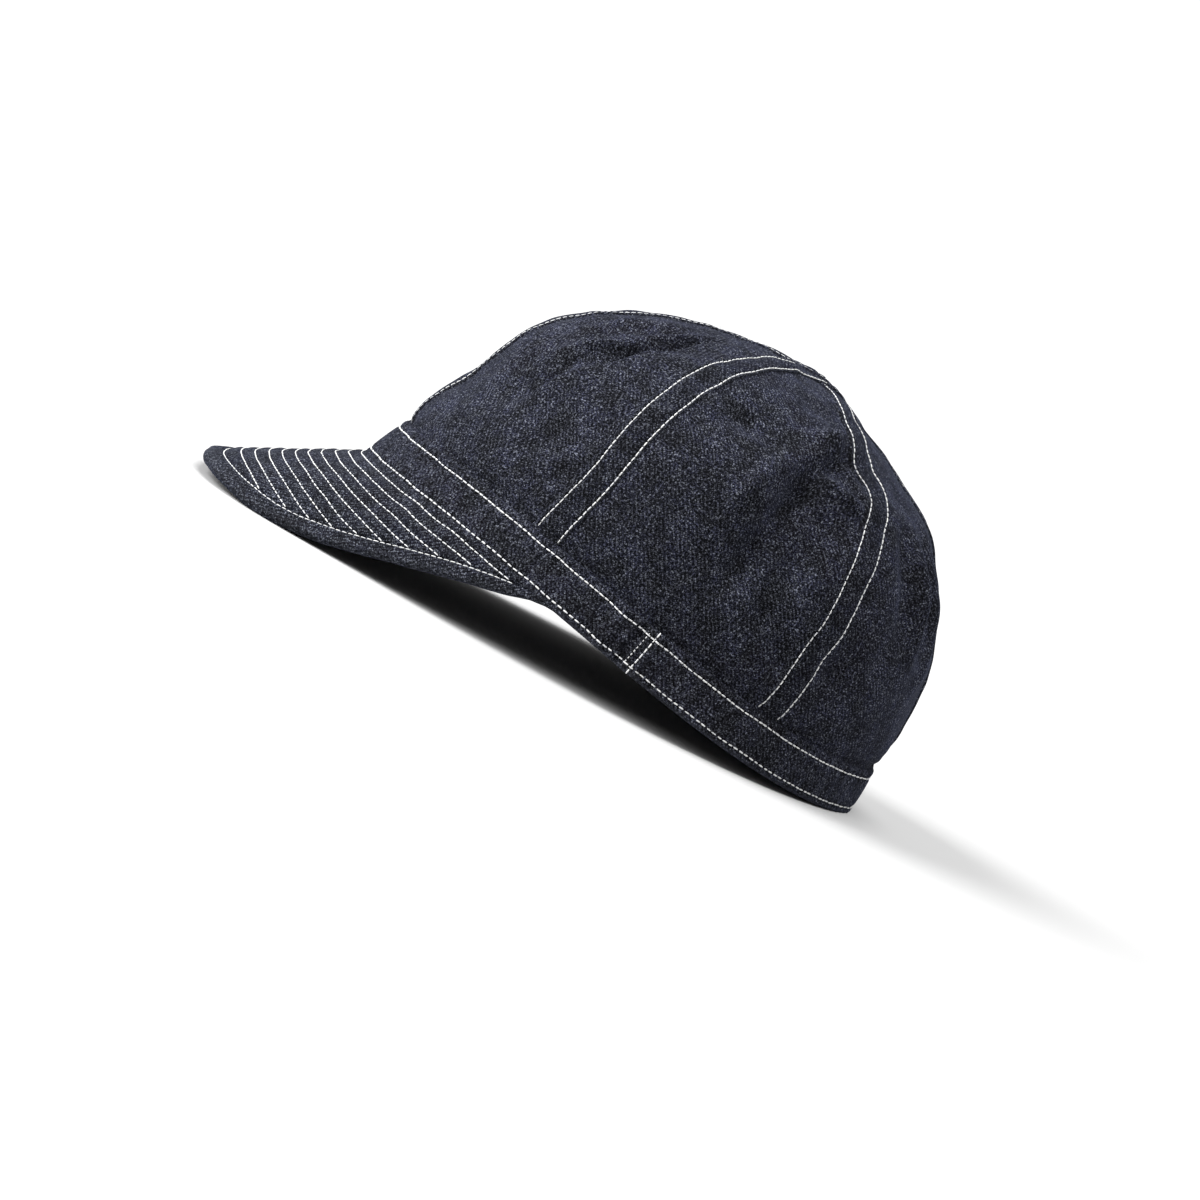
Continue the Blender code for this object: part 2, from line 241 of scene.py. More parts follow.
def crown_base(azimuth, level):
    """Places on the crown's cloth before its folds. Below level 0 it runs down into the band."""
    above = np.maximum(level, 0.0)
    rise, front, back, side = np.moveaxis(blend(CROWN_SECTIONS, above), -1, 0)
    foot = band_point(azimuth, 1.0, CROWN_INSET)
    reach = np.where(np.cos(azimuth) > 0, front, back)
    below = np.minimum(level, 0.0) * CROWN_RISE * CLOTH_RISE
    return stack(foot[..., 0] * side,
                 BAND_SHIFT + (foot[..., 1] - BAND_SHIFT) * reach + CROWN_SET_BACK * rise,
                 BAND_HEIGHT + CLEARANCE + CROWN_RISE * rise
                 + rim_wave(azimuth) * (1 - above) ** 2 + below)


def crown_normal(azimuth, level):
    level = np.clip(level, 0.0, 1 - 2 * STEP)
    across = crown_base(azimuth + STEP, level) - crown_base(azimuth - STEP, level)
    upward = crown_base(azimuth, level + STEP) - crown_base(azimuth, np.maximum(level - STEP, 0))
    return unit(np.cross(across, upward))

# %% Folds of the crown
def fold_relief(azimuth, level, folds, free=FOLD_FREE):
    """How far folds push the cloth out at places on the crown."""
    around = RIM_WIDTH / 2 * np.cos(level * pi / 2)
    upward = CROWN_RISE * CLOTH_RISE
    relief = np.zeros(np.broadcast(azimuth, level).shape)
    for azimuth_a, level_a, azimuth_b, level_b, depth, width in folds:
        turn = turn_from(radians(azimuth_a), azimuth)
        along = (radians(azimuth_b - azimuth_a) * around, (level_b - level_a) * upward)
        place = (turn * around, (level - level_a) * upward)
        length = along[0] ** 2 + along[1] ** 2
        t = np.clip((place[0] * along[0] + place[1] * along[1]) / length, 0.0, 1.0)
        away = (place[0] - along[0] * t) ** 2 + (place[1] - along[1] * t) ** 2
        taper = FOLD_END + (1 - FOLD_END) * np.sin(pi * t)
        relief += depth * CROWN_RISE * taper * np.exp(-away / (width * CROWN_RISE) ** 2)
    return relief * np.clip(np.minimum(level, 1 - level) / free, 0.0, 1.0)

# %% Places on the peak
def peak_point(azimuth, out):
    """Places on the peak's upper face, a distance out along the cloth from the band."""
    share = np.abs(azimuth) / radians(PEAK_HALF_ANGLE)
    slope = np.radians(blend(PEAK_SECTIONS, share)[..., 1])
    tangent = unit(band_point(azimuth + STEP, 0.0) - band_point(azimuth - STEP, 0.0))
    heading = PEAK_FAN * np.arctan2(tangent[..., 1], tangent[..., 0])
    line = stack(np.cos(slope) * np.sin(heading), -np.cos(slope) * np.cos(heading),
                 -np.sin(slope))
    along = np.sum(line * tangent, axis=-1, keepdims=True)
    square = np.linalg.norm(line - tangent * along, axis=-1)
    start = band_point(azimuth, 0.0) - np.array((0, 0, CLEARANCE))
    return start + line * (np.asarray(out) / square)[..., None]


def peak_depth(azimuth):
    return PEAK_DEPTH * blend(PEAK_SECTIONS, np.abs(azimuth) / radians(PEAK_HALF_ANGLE))[..., 0]


print("peak depth at 0, 30 and 60 degrees in mm:",
      (peak_depth(np.radians((0, 30, 60))) / MM).round(1))

# %% [markdown]
# ## How the cap lies
# Put down by itself, the cap rocks forward until the edge of its peak and the back of its band
# touch the floor, and the cloth there is pressed flat. The solids were turned and moved in that
# way, so every point that we work out in the cap's own frame is turned and moved as they were.

# %% From the cap's own frame to its rest on the floor
REST_TILT = radians(8.661493)
REST_MOVE = np.array((-0.00045, 0.022345, 0.014784))
TURN = np.array(((1, 0, 0), (0, cos(REST_TILT), sin(REST_TILT)),
                 (0, -sin(REST_TILT), cos(REST_TILT))))


def at_rest(points):
    """Points of the cap's own frame where they lie on the floor, none of them below it."""
    moved = np.asarray(points) @ TURN.T + REST_MOVE
    moved[..., 2] = np.maximum(moved[..., 2], 0.0)
    return moved


band_low = at_rest(band_point(np.linspace(0, tau, 361), 0.0)).min(axis=0)

# %% [markdown]
# ## From a grid of points to a piece of cloth
# Every piece here is a grid of points that is bent over a surface: columns across the cloth and
# rows along it. We build the mesh straight from numpy arrays, because a modifier could not place
# each point. Each piece also gets a UV map in metres of cloth, so that the weave keeps its true
# size, and a value called wear, which is 1 on the edges that rub pale.

# %% A mesh from points and quads
REVERSE = 3.2                # the wear value of the reverse, which shows mostly undyed yarn


def new_object(name, data):
    made = bpy.data.objects.new(name, data)
    bpy.context.scene.collection.objects.link(made)
    return made


def face_outwards(mesh, caps=()):
    """Turn all faces outwards, after faces are added over loops of points."""
    bm = bmesh.new()
    bm.from_mesh(mesh)
    bm.verts.ensure_lookup_table()
    for cap in caps:
        bm.faces.new([bm.verts[index] for index in cap])
    bmesh.ops.recalc_face_normals(bm, faces=bm.faces)
    bm.to_mesh(mesh)
    bm.free()
    mesh.shade_smooth()


def cloth_mesh(name, points, quads, uv, wear, material):
    """An object made of quads, with a UV map in metres and a wear value for each point."""
    mesh = bpy.data.meshes.new(name)
    mesh.from_pydata(points.reshape(-1, 3).tolist(), [], quads.tolist())
    layer = mesh.uv_layers.new(name="cloth")
    corners = np.empty(len(mesh.loops), int)
    mesh.loops.foreach_get("vertex_index", corners)
    layer.data.foreach_set("uv", uv.reshape(-1, 2)[corners].astype(np.float32).ravel())
    mark = mesh.attributes.new("wear", "FLOAT", "POINT")
    mark.data.foreach_set("value", wear.reshape(-1).astype(np.float32))
    mesh.materials.append(material)
    mesh.validate()
    mesh.shade_smooth()
    return new_object(name, mesh)


def grid_quads(rows, columns, start=0, closed=False, flip=False):
    """Quads of a grid of points that is numbered row by row."""
    across = columns if closed else columns - 1
    j, i = np.meshgrid(np.arange(rows - 1), np.arange(across), indexing="ij")
    a = start + j * columns + i
    b = start + j * columns + (i + 1) % columns
    quads = np.stack((a, b, b + columns, a + columns), axis=-1).reshape(-1, 4)
    return quads[:, ::-1] if flip else quads

# %% A shell: an outer and an inner grid, joined round their edges
def shell(name, outer, inner, uv, wear, material):
    """A closed piece of cloth between two grids of the same size, whose columns run rightwards
    and whose rows run upwards as seen from outside."""
    rows, columns = outer.shape[:2]
    count = rows * columns
    index = np.arange(count).reshape(rows, columns)
    border = np.concatenate((index[0, :-1], index[:-1, -1], index[-1, :0:-1], index[:0:-1, 0]))
    after = np.roll(border, -1)
    sides = np.stack((border, border + count, after + count, after), axis=-1)
    quads = np.concatenate((grid_quads(rows, columns),
                            grid_quads(rows, columns, count, flip=True), sides))
    return cloth_mesh(name, np.concatenate((outer.reshape(-1, 3), inner.reshape(-1, 3))), quads,
                      np.concatenate((uv.reshape(-1, 2), uv.reshape(-1, 2))),
                      np.concatenate((wear.ravel(), 0 * wear.ravel() + REVERSE)), material)


def grid_normals(points):
    """The way out at each point of a grid whose columns run rightwards and rows upwards."""
    across = np.gradient(points, axis=1)
    upward = np.gradient(points, axis=0)
    return unit(np.cross(across, upward))


def check_closed(piece):
    """Print a piece's size and what is wrong with its shell, if anything."""
    bm = bmesh.new()
    bm.from_mesh(piece.data)
    loose = sum(1 for edge in bm.edges if len(edge.link_faces) != 2)
    volume = bm.calc_volume(signed=True)
    triangles = sum(len(face.verts) - 2 for face in bm.faces)
    bm.free()
    print(f"{piece.name}: {triangles} triangles, {volume * 1e6:.2f} cm3, open edges {loose}")

# %% [markdown]
# ## The denim
# Denim is a twill: each white crosswise yarn passes over one indigo lengthwise yarn and under the
# next three, one step further along in each row, so small pale dots climb in slanting lines. The
# dots differ in brightness, since the yarns are uneven and the dye is too, and from a distance
# that gives the salt-and-pepper look. A picture of cloth would be the quick way. We work the
# weave out in shader nodes from the UV map, because then it stays sharp at any distance.

# %% A small helper that wires shader nodes
class Wiring:
    """Adds nodes to a tree. Numbers are set on a socket, and sockets are linked to it."""

    def __init__(self, tree):
        self.tree = tree

    def add(self, kind, values=None, **options):
        node = self.tree.nodes.new(kind)
        for option, value in options.items():
            setattr(node, option, value)
        return self.fill(node, values or {})

    def fill(self, node, values):
        for place, value in values.items():
            self.give(node.inputs[place], value)
        return node

    def give(self, socket, value):
        if isinstance(value, bpy.types.NodeSocket):
            self.tree.links.new(value, socket)
        else:
            socket.default_value = value

    def math(self, operation, *values):
        return self.add("ShaderNodeMath", dict(enumerate(values)), operation=operation).outputs[0]

    def times(self, first, *others):
        """A product of two or more values, multiplied one after the other."""
        for other in others:
            first = self.math("MULTIPLY", first, other)
        return first

    def shift(self, value, low, high, to_low=0.0, to_high=1.0, smooth=False):
        kind = "SMOOTHSTEP" if smooth else "LINEAR"
        values = {"Value": value, "From Min": low, "From Max": high, "To Min": to_low,
                  "To Max": to_high}
        return self.add("ShaderNodeMapRange", values, interpolation_type=kind).outputs[0]

    def mix(self, share, first, second):
        """Two colours mixed. A mix node keeps its colours in places 6 and 7."""
        values = {0: share, 6: first, 7: second}
        return self.add("ShaderNodeMix", values, data_type="RGBA").outputs[2]

    def scaled(self, vector, factor):
        values = {0: vector, "Scale": factor}
        return self.add("ShaderNodeVectorMath", values, operation="SCALE").outputs[0]

    def noise(self, vector, scale, detail=2.0, roughness=0.5):
        values = {"Vector": vector, "Scale": scale, "Detail": detail, "Roughness": roughness}
        return self.add("ShaderNodeTexNoise", values).outputs["Fac"]


def new_material(name):
    """A material, the wiring of its tree, and its shader."""
    material = bpy.data.materials.new(name)
    material.use_nodes = True
    return material, Wiring(material.node_tree), material.node_tree.nodes["Principled BSDF"]


def shader_group(name, inputs, outputs):
    """An empty node group with named sockets, and its wiring, input and output nodes."""
    group = bpy.data.node_groups.new(name, "ShaderNodeTree")
    for label, kind, value in inputs:
        socket = group.interface.new_socket(label, in_out="INPUT", socket_type=kind)
        if value is not None:
            socket.default_value = value
    for label, kind in outputs:
        group.interface.new_socket(label, in_out="OUTPUT", socket_type=kind)
    wires = Wiring(group)
    return group, wires, wires.add("NodeGroupInput"), wires.add("NodeGroupOutput")

# %% The twill group: pale dots and the height of the yarns
FLOAT, VECTOR = "NodeSocketFloat", "NodeSocketVector"


def make_twill():
    group, w, given, made = shader_group(
        "denim_twill",
        (("Cloth", VECTOR, None), ("Warp Pitch", FLOAT, 0.00043), ("Weft Pitch", FLOAT, 0.00050),
         ("Unevenness", FLOAT, 0.00060)),
        (("Weft", FLOAT), ("Streak", FLOAT), ("Height", FLOAT)))
    cloth = given.outputs["Cloth"]
    # The yarns wander a little, so the lines are never ruler-straight.
    bend = w.add("ShaderNodeTexNoise", {"Vector": cloth, "Scale": 260.0, "Detail": 1.0})
    centred = w.add("ShaderNodeVectorMath", {0: bend.outputs["Color"], 1: (0.5, 0.5, 0.5)},
                    operation="SUBTRACT")
    moved = w.scaled(centred.outputs[0], given.outputs["Unevenness"])
    bent = w.add("ShaderNodeVectorMath", {0: cloth, 1: moved}, operation="ADD")
    parts = w.add("ShaderNodeSeparateXYZ", {0: bent.outputs[0]})
    across = w.math("DIVIDE", parts.outputs[0], given.outputs["Warp Pitch"])
    along = w.math("DIVIDE", parts.outputs[1], given.outputs["Weft Pitch"])
    warp, weft = w.math("FLOOR", across), w.math("FLOOR", along)
    # A weft yarn shows where warp number plus weft number is a multiple of 4.
    turn = w.math("FLOORED_MODULO", w.math("ADD", warp, weft), 4.0)
    shows = w.math("LESS_THAN", turn, 0.5)
    in_warp = w.math("ABSOLUTE", w.math("SUBTRACT", w.math("FRACT", across), 0.5))
    in_weft = w.math("ABSOLUTE", w.math("SUBTRACT", w.math("FRACT", along), 0.5))
    dot = w.times(w.shift(in_warp, 0.55, 0.30, smooth=True),
                  w.shift(in_weft, 0.52, 0.25, smooth=True))
    place = w.add("ShaderNodeCombineXYZ", {0: warp, 1: weft, 2: 0.0})
    chance = w.add("ShaderNodeTexWhiteNoise", {"Vector": place.outputs[0]},
                   noise_dimensions="3D").outputs["Value"]
    strength = w.math("POWER", chance, 2.2)
    w.give(made.inputs["Weft"], w.times(shows, dot, strength))
    # Each warp yarn has its own shade and thick and thin places along it.
    long_way = w.add("ShaderNodeMapping", {"Vector": cloth, "Scale": (1900.0, 260.0, 1.0)})
    w.give(made.inputs["Streak"], w.noise(long_way.outputs[0], 1.0, 3.0, 0.6))
    rib = w.math("SUBTRACT", 1.0, w.times(in_warp, in_warp))
    w.give(made.inputs["Height"], w.math("SUBTRACT", rib, w.times(shows, 0.35)))
    return group


TWILL = make_twill()
print("twill group:", len(TWILL.nodes), "nodes")

# %% The fleck group: grain, neps and cloudiness that every denim piece shares
def make_fleck():
    """Cloudy patches where the cloth is paler, bright neps of undyed fibre and fine grain."""
    group, w, given, made = shader_group(
        "cloth_fleck",
        (("Cloth", VECTOR, None), ("Patch Size", FLOAT, 0.0095), ("Nep Size", FLOAT, 0.00052),
         ("Grain Size", FLOAT, 0.00066)),
        (("Patch", FLOAT), ("Nep", FLOAT), ("Grain", FLOAT)))
    cloth = given.outputs["Cloth"]
    wide = w.noise(cloth, w.math("DIVIDE", 1.0, given.outputs["Patch Size"]), 4.0, 0.7)
    w.give(made.inputs["Patch"], w.shift(wide, 0.34, 0.66, smooth=True))
    cells = w.add("ShaderNodeTexVoronoi", {"Vector": cloth})
    w.give(cells.inputs["Scale"], w.math("DIVIDE", 1.0, given.outputs["Nep Size"]))
    chance = w.add("ShaderNodeSeparateXYZ", {0: cells.outputs["Color"]}).outputs[0]
    w.give(made.inputs["Nep"], w.times(w.shift(chance, 0.80, 1.0),
                                       w.shift(cells.outputs["Distance"], 0.70, 0.30, smooth=True)))
    grain = w.noise(cloth, w.math("DIVIDE", 1.0, given.outputs["Grain Size"]), 2.0, 0.85)
    w.give(made.inputs["Grain"], w.shift(grain, 0.24, 0.76))
    return group


FLECK = make_fleck()
print("fleck group:", len(FLECK.nodes), "nodes")

# %% [markdown]
# One function mixes a denim from these groups. Each part of the cap has its own values: the dye is
# deepest on the felled seams, the peak is darker too as painted shade on its upturned face, and the
# peak has more pale dots, because its rows of stitching rub. The reverse of the cloth, which the
# head sees, shows mostly the undyed yarn. The shader itself stays in the material.

# %% A denim material
def denim(name, warp, weft, dots=0.26, neps=0.42, wear=0.07, contrast=11.0, sheen=0.05):
    """Indigo yarn whose shade varies from fibre to fibre, with pale dots, neps and rubbed edges."""
    material, w, surface = new_material(name)
    cloth = w.add("ShaderNodeUVMap", uv_map="cloth").outputs[0]
    twill = w.add("ShaderNodeGroup", {"Cloth": cloth}, node_tree=TWILL)
    fleck = w.add("ShaderNodeGroup", {"Cloth": cloth}, node_tree=FLECK)
    rubbed = w.add("ShaderNodeAttribute", attribute_name="wear").outputs["Fac"]
    patch, grain = fleck.outputs["Patch"], fleck.outputs["Grain"]
    dye = w.math("ADD", w.times(grain, 0.72), w.times(twill.outputs["Streak"], 0.28))
    dye = w.math("ADD", dye, w.shift(patch, 0, 1, -0.040, 0.040))
    shade = w.math("EXPONENT", w.times(w.math("SUBTRACT", dye, 0.5), contrast))
    shade = w.math("MINIMUM", shade, PALEST_DYE)
    amount = w.times(twill.outputs["Weft"], w.shift(patch, 0, 1, 0.5 * dots, dots))
    speck = w.times(fleck.outputs["Nep"], w.shift(patch, 0, 1, 0.5 * neps, neps))
    edge = w.times(rubbed, wear, w.shift(grain, 0.3, 0.7, 0.1, 1.0))
    pale = w.math("MINIMUM", w.math("ADD", w.math("MAXIMUM", amount, speck), edge), 1.0)
    greyed = w.mix(w.shift(patch, 0, 1, 0.60, 0.10), (*warp, 1),
                   (*(sum(warp) / 3.3 for _ in range(3)), 1))
    both = {0: w.scaled(greyed, shade), 1: w.scaled(weft, pale)}
    colour = w.add("ShaderNodeVectorMath", both, operation="ADD")
    bump = w.add("ShaderNodeBump", {"Strength": 0.6, "Distance": 0.00010,
                                    "Height": twill.outputs["Height"]})
    fuzz = w.add("ShaderNodeBump", {"Strength": 0.6, "Distance": 0.00025, "Height": grain,
                                    "Normal": bump.outputs[0]})
    w.fill(surface, {"Base Color": colour.outputs[0], "Normal": fuzz.outputs[0],
                     "Roughness": w.shift(shade, 0, 4, 0.84, 0.97), "Specular IOR Level": 0.03,
                     "Sheen Weight": sheen, "Sheen Roughness": 0.4, "Sheen Tint": FUZZ_TINT})
    return material


PALEST_DYE = 8.0             # the dyed yarn gets no paler than this many times its colour
FUZZ_TINT = (0.45, 0.54, 1.0, 1.0)
INDIGO = (0.0062, 0.0067, 0.0114)
UNDYED = (0.41, 0.44, 0.52)
CROWN_DENIM = denim("crown_cloth", INDIGO, UNDYED)
SEAM_DENIM = denim("seam_cloth", (0.0044, 0.0048, 0.0080), UNDYED, neps=0.34)
BAND_DENIM = denim("band_cloth", (0.0062, 0.0066, 0.0104), UNDYED)
# The peak's denim is darker than the crown's: painted shade on its upturned face.
SHADED_PEAK_DENIM = denim("peak_cloth", (0.0042, 0.0046, 0.0074), UNDYED, dots=0.35)

# %% The sewing thread
def thread_material():
    """Off-white cotton. Its two strands twist in slanting bands, with painted shade between them."""
    material, w, surface = new_material("sewing_thread")
    own = w.add("ShaderNodeUVMap", uv_map="strand").outputs[0]
    parts = w.add("ShaderNodeSeparateXYZ", {0: own})
    angle = w.math("ADD", w.times(parts.outputs[0], TWISTS * tau), w.times(parts.outputs[1], tau))
    twist = w.shift(w.math("SINE", angle), -1, 1)
    here = w.add("ShaderNodeTexCoord").outputs["Object"]
    soil = w.shift(w.noise(here, 420.0, 2.0), 0.35, 0.70)
    # Where the twist dips, grey is mixed in: painted shade in the groove between the strands.
    body = w.mix(w.shift(twist, 0, 1, 0.30, 0.0), w.mix(soil, COTTON, SOILED), STRAND_GROOVE_SHADE)
    bump = w.add("ShaderNodeBump", {"Strength": 0.8, "Distance": 0.0001, "Height": twist})
    w.fill(surface, {"Base Color": body, "Roughness": 0.75, "Specular IOR Level": 0.3,
                     "Normal": bump.outputs[0]})
    return material


TWISTS = 7.0                 # how often the strands turn round each other in one stitch
COTTON, SOILED = (0.93, 0.93, 0.90, 1), (0.72, 0.73, 0.75, 1)
# the grey that paints shade into the groove between the twisted strands
STRAND_GROOVE_SHADE = (0.36, 0.37, 0.40, 1)
THREAD = thread_material()
print("materials:", [m.name for m in bpy.data.materials if m.name.endswith(("cloth", "thread"))])

# %% [markdown]
# ## The six crown panels
# Each panel is a gore, wide at the band and drawn to a point at the top. It is one layer of
# denim. The seams hold their edges, so the cloth puckers in short ripples beside them, and it
# undulates a little everywhere, where it was washed. We lay a fine grid between two seams, push
# it out by the large folds and then by these small ones, and close it with an inner layer.

# %% Seams and the unevenness of the crown's cloth
# Each panel lies between two seams.
PANELS = {"crown_front_left": ("front", "front_left"),
          "crown_side_left": ("front_left", "rear_left"),
          "crown_rear_left": ("rear_left", "rear"),
          "crown_rear_right": ("rear", "rear_right"),
          "crown_side_right": ("rear_right", "front_right"),
          "crown_front_right": ("front_right", "front")}
# The cloth's unevenness in layers: height, size and seed. All of it, the ripples beside the
# seams, and those along the band.
CROWN_UNEVEN = ((0.00065, 0.019, 11), (0.00032, 0.008, 12))
SEAM_RIPPLE, SEAM_RIPPLE_REACH = (0.00030, 0.0048, 13), 0.0085
BAND_RIPPLE, BAND_RIPPLE_REACH = (0.00028, 0.0055, 14), 0.0075
FOOT_DIP, FOOT_DIP_AT, FOOT_DIP_WIDTH = 0.0010, 0.0008, 0.0013
PANEL_COLUMNS, PANEL_ROWS = 110, 170
FOOT_LEVEL = -0.018          # the cloth runs this far down inside the band
TIP_LEVEL = 0.9990
# Smaller creases that the solids leave out, with the same columns as the large folds.
CREASE_FREE = 0.05           # levels at the band and at the top over which they die out
CREASES = (
    (116, 0.68, 100, 0.54, -0.044, 0.034), (100, 0.54, 98, 0.34, -0.062, 0.042),
    (98, 0.34, 97, 0.16, -0.056, 0.046), (92, 0.60, 106, 0.68, 0.026, 0.032),
    (110, 0.44, 106, 0.20, -0.038, 0.052), (104, 0.54, 118, 0.51, 0.030, 0.028),
    (90, 0.52, 88, 0.30, 0.020, 0.034), (33, 0.20, 34, 0.37, -0.016, 0.018),
    (39, 0.40, 40, 0.56, -0.030, 0.022), (40, 0.56, 30, 0.72, -0.024, 0.022),
    (36, 0.24, 43, 0.42, 0.014, 0.018), (43, 0.42, 44, 0.55, 0.022, 0.020),
    (44, 0.55, 35, 0.70, 0.020, 0.020), (28, 0.35, 36, 0.50, 0.018, 0.018),
    (36, 0.50, 28, 0.72, 0.018, 0.018), (27, 0.40, 28, 0.64, -0.016, 0.020),
    (19, 0.20, 15, 0.38, 0.010, 0.016), (21, 0.22, 18, 0.40, -0.010, 0.016),
    (143, 0.56, 151, 0.30, 0.016, 0.036), (137, 0.54, 144, 0.28, -0.018, 0.034),
    (154, 0.58, 160, 0.32, -0.018, 0.034), (60, 0.88, 52, 0.84, 0.014, 0.018),
    (17, 0.44, 20, 0.66, 0.014, 0.032), (72, 0.48, 79, 0.56, -0.020, 0.050),
    (104, 0.66, 92, 0.48, 0.016, 0.036), (92, 0.48, 88, 0.32, 0.012, 0.036),
    (99, 0.69, 120, 0.55, 0.018, 0.030), (112, 0.60, 118, 0.56, -0.020, 0.034),
    (106, 0.20, 108, 0.14, -0.016, 0.030), (112, 0.16, 115, 0.09, -0.016, 0.032),
    (146, 0.56, 150, 0.26, 0.016, 0.032), (152, 0.50, 154, 0.30, -0.018, 0.032),
    (130, 0.22, 128, 0.11, -0.018, 0.045), (160, 0.56, 163, 0.24, 0.012, 0.035),
    (300, 0.40, 296, 0.60, -0.020, 0.040), (326, 0.22, 320, 0.56, -0.022, 0.036),
    (262, 0.46, 266, 0.20, -0.022, 0.050), (236, 0.60, 230, 0.40, 0.014, 0.036),
    (52, 0.10, 60, 0.22, 0.010, 0.030), (46, 0.10, 50, 0.24, -0.010, 0.035),
    (70, 0.30, 84, 0.22, 0.008, 0.035), (108, 0.34, 116, 0.26, 0.010, 0.035),
    (104, 0.46, 116, 0.42, -0.012, 0.040), (110, 0.52, 119, 0.52, 0.010, 0.030),
    (86, 0.08, 92, 0.22, -0.010, 0.040), (112, 0.08, 109, 0.20, 0.010, 0.030),
    (20, 0.20, 22, 0.40, 0.012, 0.035), (14, 0.30, 15, 0.60, -0.010, 0.040),
    (52, 0.60, 47, 0.80, -0.014, 0.045), (60, 0.72, 52, 0.86, 0.010, 0.035),
    (84, 0.80, 92, 0.70, -0.010, 0.040), (132, 0.40, 136, 0.58, 0.010, 0.035),
    (138, 0.16, 141, 0.34, -0.012, 0.040), (160, 0.20, 164, 0.44, 0.010, 0.035),
    (170, 0.30, 168, 0.60, -0.010, 0.040), (300, 0.14, 306, 0.30, 0.012, 0.035),
    (340, 0.24, 344, 0.50, -0.012, 0.040), (272, 0.30, 258, 0.36, 0.010, 0.035),
    (250, 0.14, 247, 0.30, -0.012, 0.040), (224, 0.20, 220, 0.44, 0.012, 0.040),
    (190, 0.44, 186, 0.66, 0.012, 0.040),
)


def seam_azimuth(seam, level):
    foot, drift = SEAM_FEET[seam]
    return np.radians(foot + drift * np.asarray(level) ** 2)


def seam_distance(azimuth, level):
    """Length along the cloth from places on the crown to the nearest seam."""
    reach = np.linalg.norm(crown_base(azimuth + STEP, level)
                           - crown_base(azimuth - STEP, level), axis=-1) / (2 * STEP)
    turns = [np.abs(turn_from(seam_azimuth(name, level), azimuth)) for name in SEAM_FEET]
    return np.min(turns, axis=0) * reach


def crown_surface(azimuth, level):
    """Places on the crown's finished outer face, with its folds, creases and puckers."""
    base = crown_base(azimuth, level)
    relief = fold_relief(azimuth, level, FOLDS)
    relief = relief + fold_relief(azimuth, level, CREASES, CREASE_FREE)
    calm = np.clip(np.minimum(level, 1.0 - level) / CREASE_FREE, 0.0, 1.0)
    relief = relief + calm * uneven(base, *CROWN_UNEVEN)
    beside = hump(seam_distance(azimuth, level), SEAM_RIPPLE_REACH)
    relief = relief + beside * calm * uneven(base, SEAM_RIPPLE)
    # Just above the band the cloth dips behind it, and the stitches gather it into ripples.
    above = level * CROWN_RISE * CLOTH_RISE
    relief = relief - FOOT_DIP * hump(above - FOOT_DIP_AT, FOOT_DIP_WIDTH)
    at_band = hump(np.maximum(above, 0.0), BAND_RIPPLE_REACH) * np.clip(level * 40, 0, 1)
    relief = relief + at_band * uneven(base, BAND_RIPPLE)
    return base + crown_normal(azimuth, level) * relief[..., None]

# %% Lay the panels
def cloth_lengths(points):
    """UV map of a grid, in metres of cloth across and along it from its middle."""
    u = running_length(points, 1)
    middle = points.shape[1] // 2
    return stack(u - u[:, middle:middle + 1], running_length(points[:, middle])[:, None])


def make_panel(name, first, second):
    levels = np.linspace(0, 1, PANEL_ROWS) ** 0.97
    levels = FOOT_LEVEL + (TIP_LEVEL - FOOT_LEVEL) * levels
    start, end = seam_azimuth(first, levels), seam_azimuth(second, levels)
    end = np.where(end < start, end + tau, end)
    share = np.linspace(0, 1, PANEL_COLUMNS)
    azimuth = start[:, None] + (end - start)[:, None] * share[None, :]
    outer = crown_surface(azimuth, levels[:, None] + 0 * azimuth)
    inner = outer - grid_normals(outer) * CROWN_WALL
    uv = cloth_lengths(outer)
    piece = shell(name + "_cloth", at_rest(outer), at_rest(inner), uv, np.zeros(azimuth.shape),
                  CROWN_DENIM)
    return piece, outer


panels, panel_faces = {}, []
for name, seams in PANELS.items():
    panels[name], outer = make_panel(name, *seams)
    panel_faces.append(outer)
    check_closed(panels[name])

# %% [markdown]
# ## The felled seams
# The panels are joined by flat-felled seams: the two edges are folded into each other and sewn
# down with two rows, which makes a strip four layers thick, about 10 mm wide. One long edge is
# a crisp fold and the other fades into its panel. We lay each strip as a cloth of its own over
# the panels. A ray from above each of its points finds the cloth below, so the strip follows
# every fold, and where strips cross at the top, the later one lies over the earlier ones.

# %% Profile of a felled strip
FELL_HALF = 0.0052
FELL_HEIGHT = 0.0008
ROW_OFFSET = 0.0043          # the rows of stitches lie this far either side of the seam
GROOVE, GROOVE_WIDTH = 0.00030, 0.0006    # the stitches pull the cloth in along their rows
FADE = 0.0017                # the soft edge runs out over this width
FOLD_EDGE = 0.0005           # the fold is rounded over this one
SUNK = 0.00035               # the underside lies this far in the cloth below


def strip_profile():
    """Offsets across a felled strip from its soft edge to its fold, and its height at each."""
    offset = np.concatenate((np.linspace(-FELL_HALF - FADE, -FELL_HALF, 5),
                             np.linspace(-FELL_HALF + 0.00045, FELL_HALF - 0.00065, 22),
                             FELL_HALF - FOLD_EDGE * np.array((0.8, 0.45, 0.18, 0.03, 0.0))))
    soft = ease((offset + FELL_HALF + FADE) / FADE)
    round_edge = round_off(offset - FELL_HALF, FOLD_EDGE)
    puffed = 1 + 0.18 * np.cos(np.clip(offset / ROW_OFFSET, -1, 1) * pi / 2)
    height = (FELL_HEIGHT * puffed + SUNK) * soft * round_edge - SUNK
    for row in (-ROW_OFFSET, ROW_OFFSET):
        height = height - GROOVE * hump(offset - row, GROOVE_WIDTH)
    return offset, height


PROFILE_OFFSET, PROFILE_HEIGHT = strip_profile()
print("strip profile:", len(PROFILE_OFFSET), "points across")

